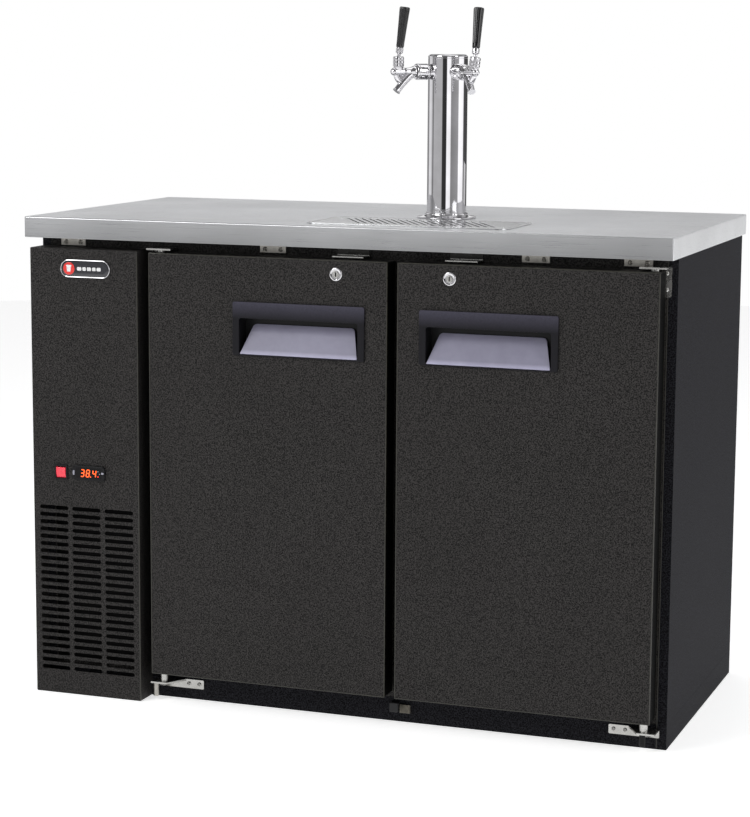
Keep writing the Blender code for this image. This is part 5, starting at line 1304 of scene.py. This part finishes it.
def build_stage():
    """Pale floor, soft boxes, studio air and the camera."""
    reach = FLOOR_REACH
    outline = round_rectangle(-reach, -reach, reach, reach, reach - 0.1, 24)
    points, faces = band(outline, [(0, -0.02), (0, -0.0002)])
    mesh = bpy.data.meshes.new("studio_floor")
    mesh.from_pydata(points.tolist(), [], faces)
    mesh.materials.append(surface("matt_floor", toned("floor", 1.0), (0.8, 0.9), 0.05,
                                  drift=(1.0, 1.0), extra=glowing((1, 1, 1), FLOOR_GLOW)))
    floor = bpy.data.objects.new("studio_floor", mesh)
    bpy.context.scene.collection.objects.link(floor)
    build_studio_air()
    for name, place, target, size, share in SOFT_BOXES:
        add_soft_box(name, place, target, size, share * bpy.context.scene.kegerator_stage.key)
    build_camera()
    bpy.context.scene.view_settings.view_transform = "Standard"


# ---- settings, operators and panel ---------------------------------------------------------
def colour_setting(name, description, code):
    """A colour of the panel, from an sRGB hex code."""
    return FloatVectorProperty(name=name, description=description, subtype="COLOR", size=3,
                               min=0.0, max=1.0, default=linear_rgb(code))


class KegeratorColours(bpy.types.PropertyGroup):
    """Colours of the finishes and of the floor"""
    cabinet: colour_setting("Cabinet", "Grain highlights of the powder coat", "3C3A39")
    worktop: colour_setting("Worktop", "Brushed stainless", "EEEFF1")
    handle: colour_setting("Handles", "Moulded frames of the door handles", "25242C")
    lamp: colour_setting("Rocker", "Lit power rocker", "E0203A")
    floor: colour_setting("Floor", "Studio floor", "F6F6F6")


class KegeratorSizes(bpy.types.PropertyGroup):
    """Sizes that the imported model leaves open"""
    worktop_nose: FloatProperty(name="Worktop nose", description="Round of the worktop's edge",
                                default=0.0024, min=0.0005, max=0.004, unit="LENGTH")


class KegeratorStage(bpy.types.PropertyGroup):
    """Strength of the light"""
    key: FloatProperty(name="Key light", description="Power of the main soft box in watts",
                       default=90.0, min=0.0)
    sky: FloatProperty(name="Sky", description="Brightness of the studio above the horizon",
                       default=0.8, min=0.0)


class KEGERATOR_OT_cabinet(bpy.types.Operator):
    """Finish the cabinet's shell, doors, foam and liner"""
    bl_idname = "kegerator.cabinet"
    bl_label = "Cabinet"

    def execute(self, context):
        build_cabinet()
        return {"FINISHED"}


class KEGERATOR_OT_worktop(bpy.types.Operator):
    """Make the brushed worktop"""
    bl_idname = "kegerator.worktop"
    bl_label = "Worktop"

    def execute(self, context):
        build_worktop()
        return {"FINISHED"}


class KEGERATOR_OT_grille(bpy.types.Operator):
    """Make the slotted cover of the machine compartment"""
    bl_idname = "kegerator.grille"
    bl_label = "Louvre cover"

    def execute(self, context):
        build_grille()
        return {"FINISHED"}


class KEGERATOR_OT_badge(bpy.types.Operator):
    """Make the plain badge"""
    bl_idname = "kegerator.badge"
    bl_label = "Badge"

    def execute(self, context):
        build_badge()
        return {"FINISHED"}


class KEGERATOR_OT_controls(bpy.types.Operator):
    """Make the switch and the thermostat's display"""
    bl_idname = "kegerator.controls"
    bl_label = "Controls"

    def execute(self, context):
        build_switch()
        build_display()
        return {"FINISHED"}


class KEGERATOR_OT_doors(bpy.types.Operator):
    """Make the handles, locks, seals and inner skins of both doors"""
    bl_idname = "kegerator.doors"
    bl_label = "Door fittings"

    def execute(self, context):
        for side in SIDES:
            build_handle(side)
            build_lock(side)
            build_seal(side)
            build_door_liner(side)
        return {"FINISHED"}


class KEGERATOR_OT_brackets(bpy.types.Operator):
    """Finish hinges, strikes and clips, with their screws and the fittings on the base rail"""
    bl_idname = "kegerator.brackets"
    bl_label = "Brackets and screws"

    def execute(self, context):
        build_brackets()
        build_base_fittings()
        return {"FINISHED"}


class KEGERATOR_OT_tray(bpy.types.Operator):
    """Make the drip pan and its grate"""
    bl_idname = "kegerator.tray"
    bl_label = "Drip tray"

    def execute(self, context):
        build_drip_tray()
        return {"FINISHED"}


class KEGERATOR_OT_tower(bpy.types.Operator):
    """Make the draft tower with both faucets"""
    bl_idname = "kegerator.tower"
    bl_label = "Draft tower"

    def execute(self, context):
        build_tower()
        for side in SIDES:
            build_faucet(side)
        return {"FINISHED"}


class KEGERATOR_OT_machine(bpy.types.Operator):
    """Finish the refrigeration parts and make both fans"""
    bl_idname = "kegerator.machine"
    bl_label = "Machine compartment"

    def execute(self, context):
        build_machine()
        return {"FINISHED"}


class KEGERATOR_OT_stage(bpy.types.Operator):
    """Make the floor, the light and the camera"""
    bl_idname = "kegerator.stage"
    bl_label = "Stage"

    def execute(self, context):
        build_stage()
        return {"FINISHED"}


OPERATORS = (KEGERATOR_OT_cabinet, KEGERATOR_OT_worktop, KEGERATOR_OT_grille,
             KEGERATOR_OT_badge, KEGERATOR_OT_controls, KEGERATOR_OT_doors,
             KEGERATOR_OT_brackets, KEGERATOR_OT_tray, KEGERATOR_OT_tower,
             KEGERATOR_OT_machine, KEGERATOR_OT_stage)
GROUPS = {"kegerator_colours": KegeratorColours, "kegerator_sizes": KegeratorSizes,
          "kegerator_stage": KegeratorStage}


class KEGERATOR_PT_panel(bpy.types.Panel):
    """Sidebar panel with every builder and setting"""
    bl_label = "Kegerator"
    bl_space_type = "VIEW_3D"
    bl_region_type = "UI"
    bl_category = "Kegerator"

    def draw(self, context):
        for name, group in GROUPS.items():
            box = self.layout.box()
            for setting in group.__annotations__:
                box.prop(getattr(context.scene, name), setting)
        for operator in OPERATORS:
            self.layout.operator(operator.bl_idname)


def register():
    for item in (*GROUPS.values(), *OPERATORS, KEGERATOR_PT_panel):
        bpy.utils.register_class(item)
    for name, group in GROUPS.items():
        setattr(bpy.types.Scene, name, PointerProperty(type=group))


def unregister():
    for name in GROUPS:
        delattr(bpy.types.Scene, name)
    for item in (KEGERATOR_PT_panel, *reversed(OPERATORS), *GROUPS.values()):
        bpy.utils.unregister_class(item)


def main():
    """Run every builder through its operator."""
    register()
    for operator in OPERATORS:
        getattr(bpy.ops.kegerator, operator.bl_idname.split(".")[1])()
    bpy.context.view_layer.update()


if __name__ == "__main__":
    main()
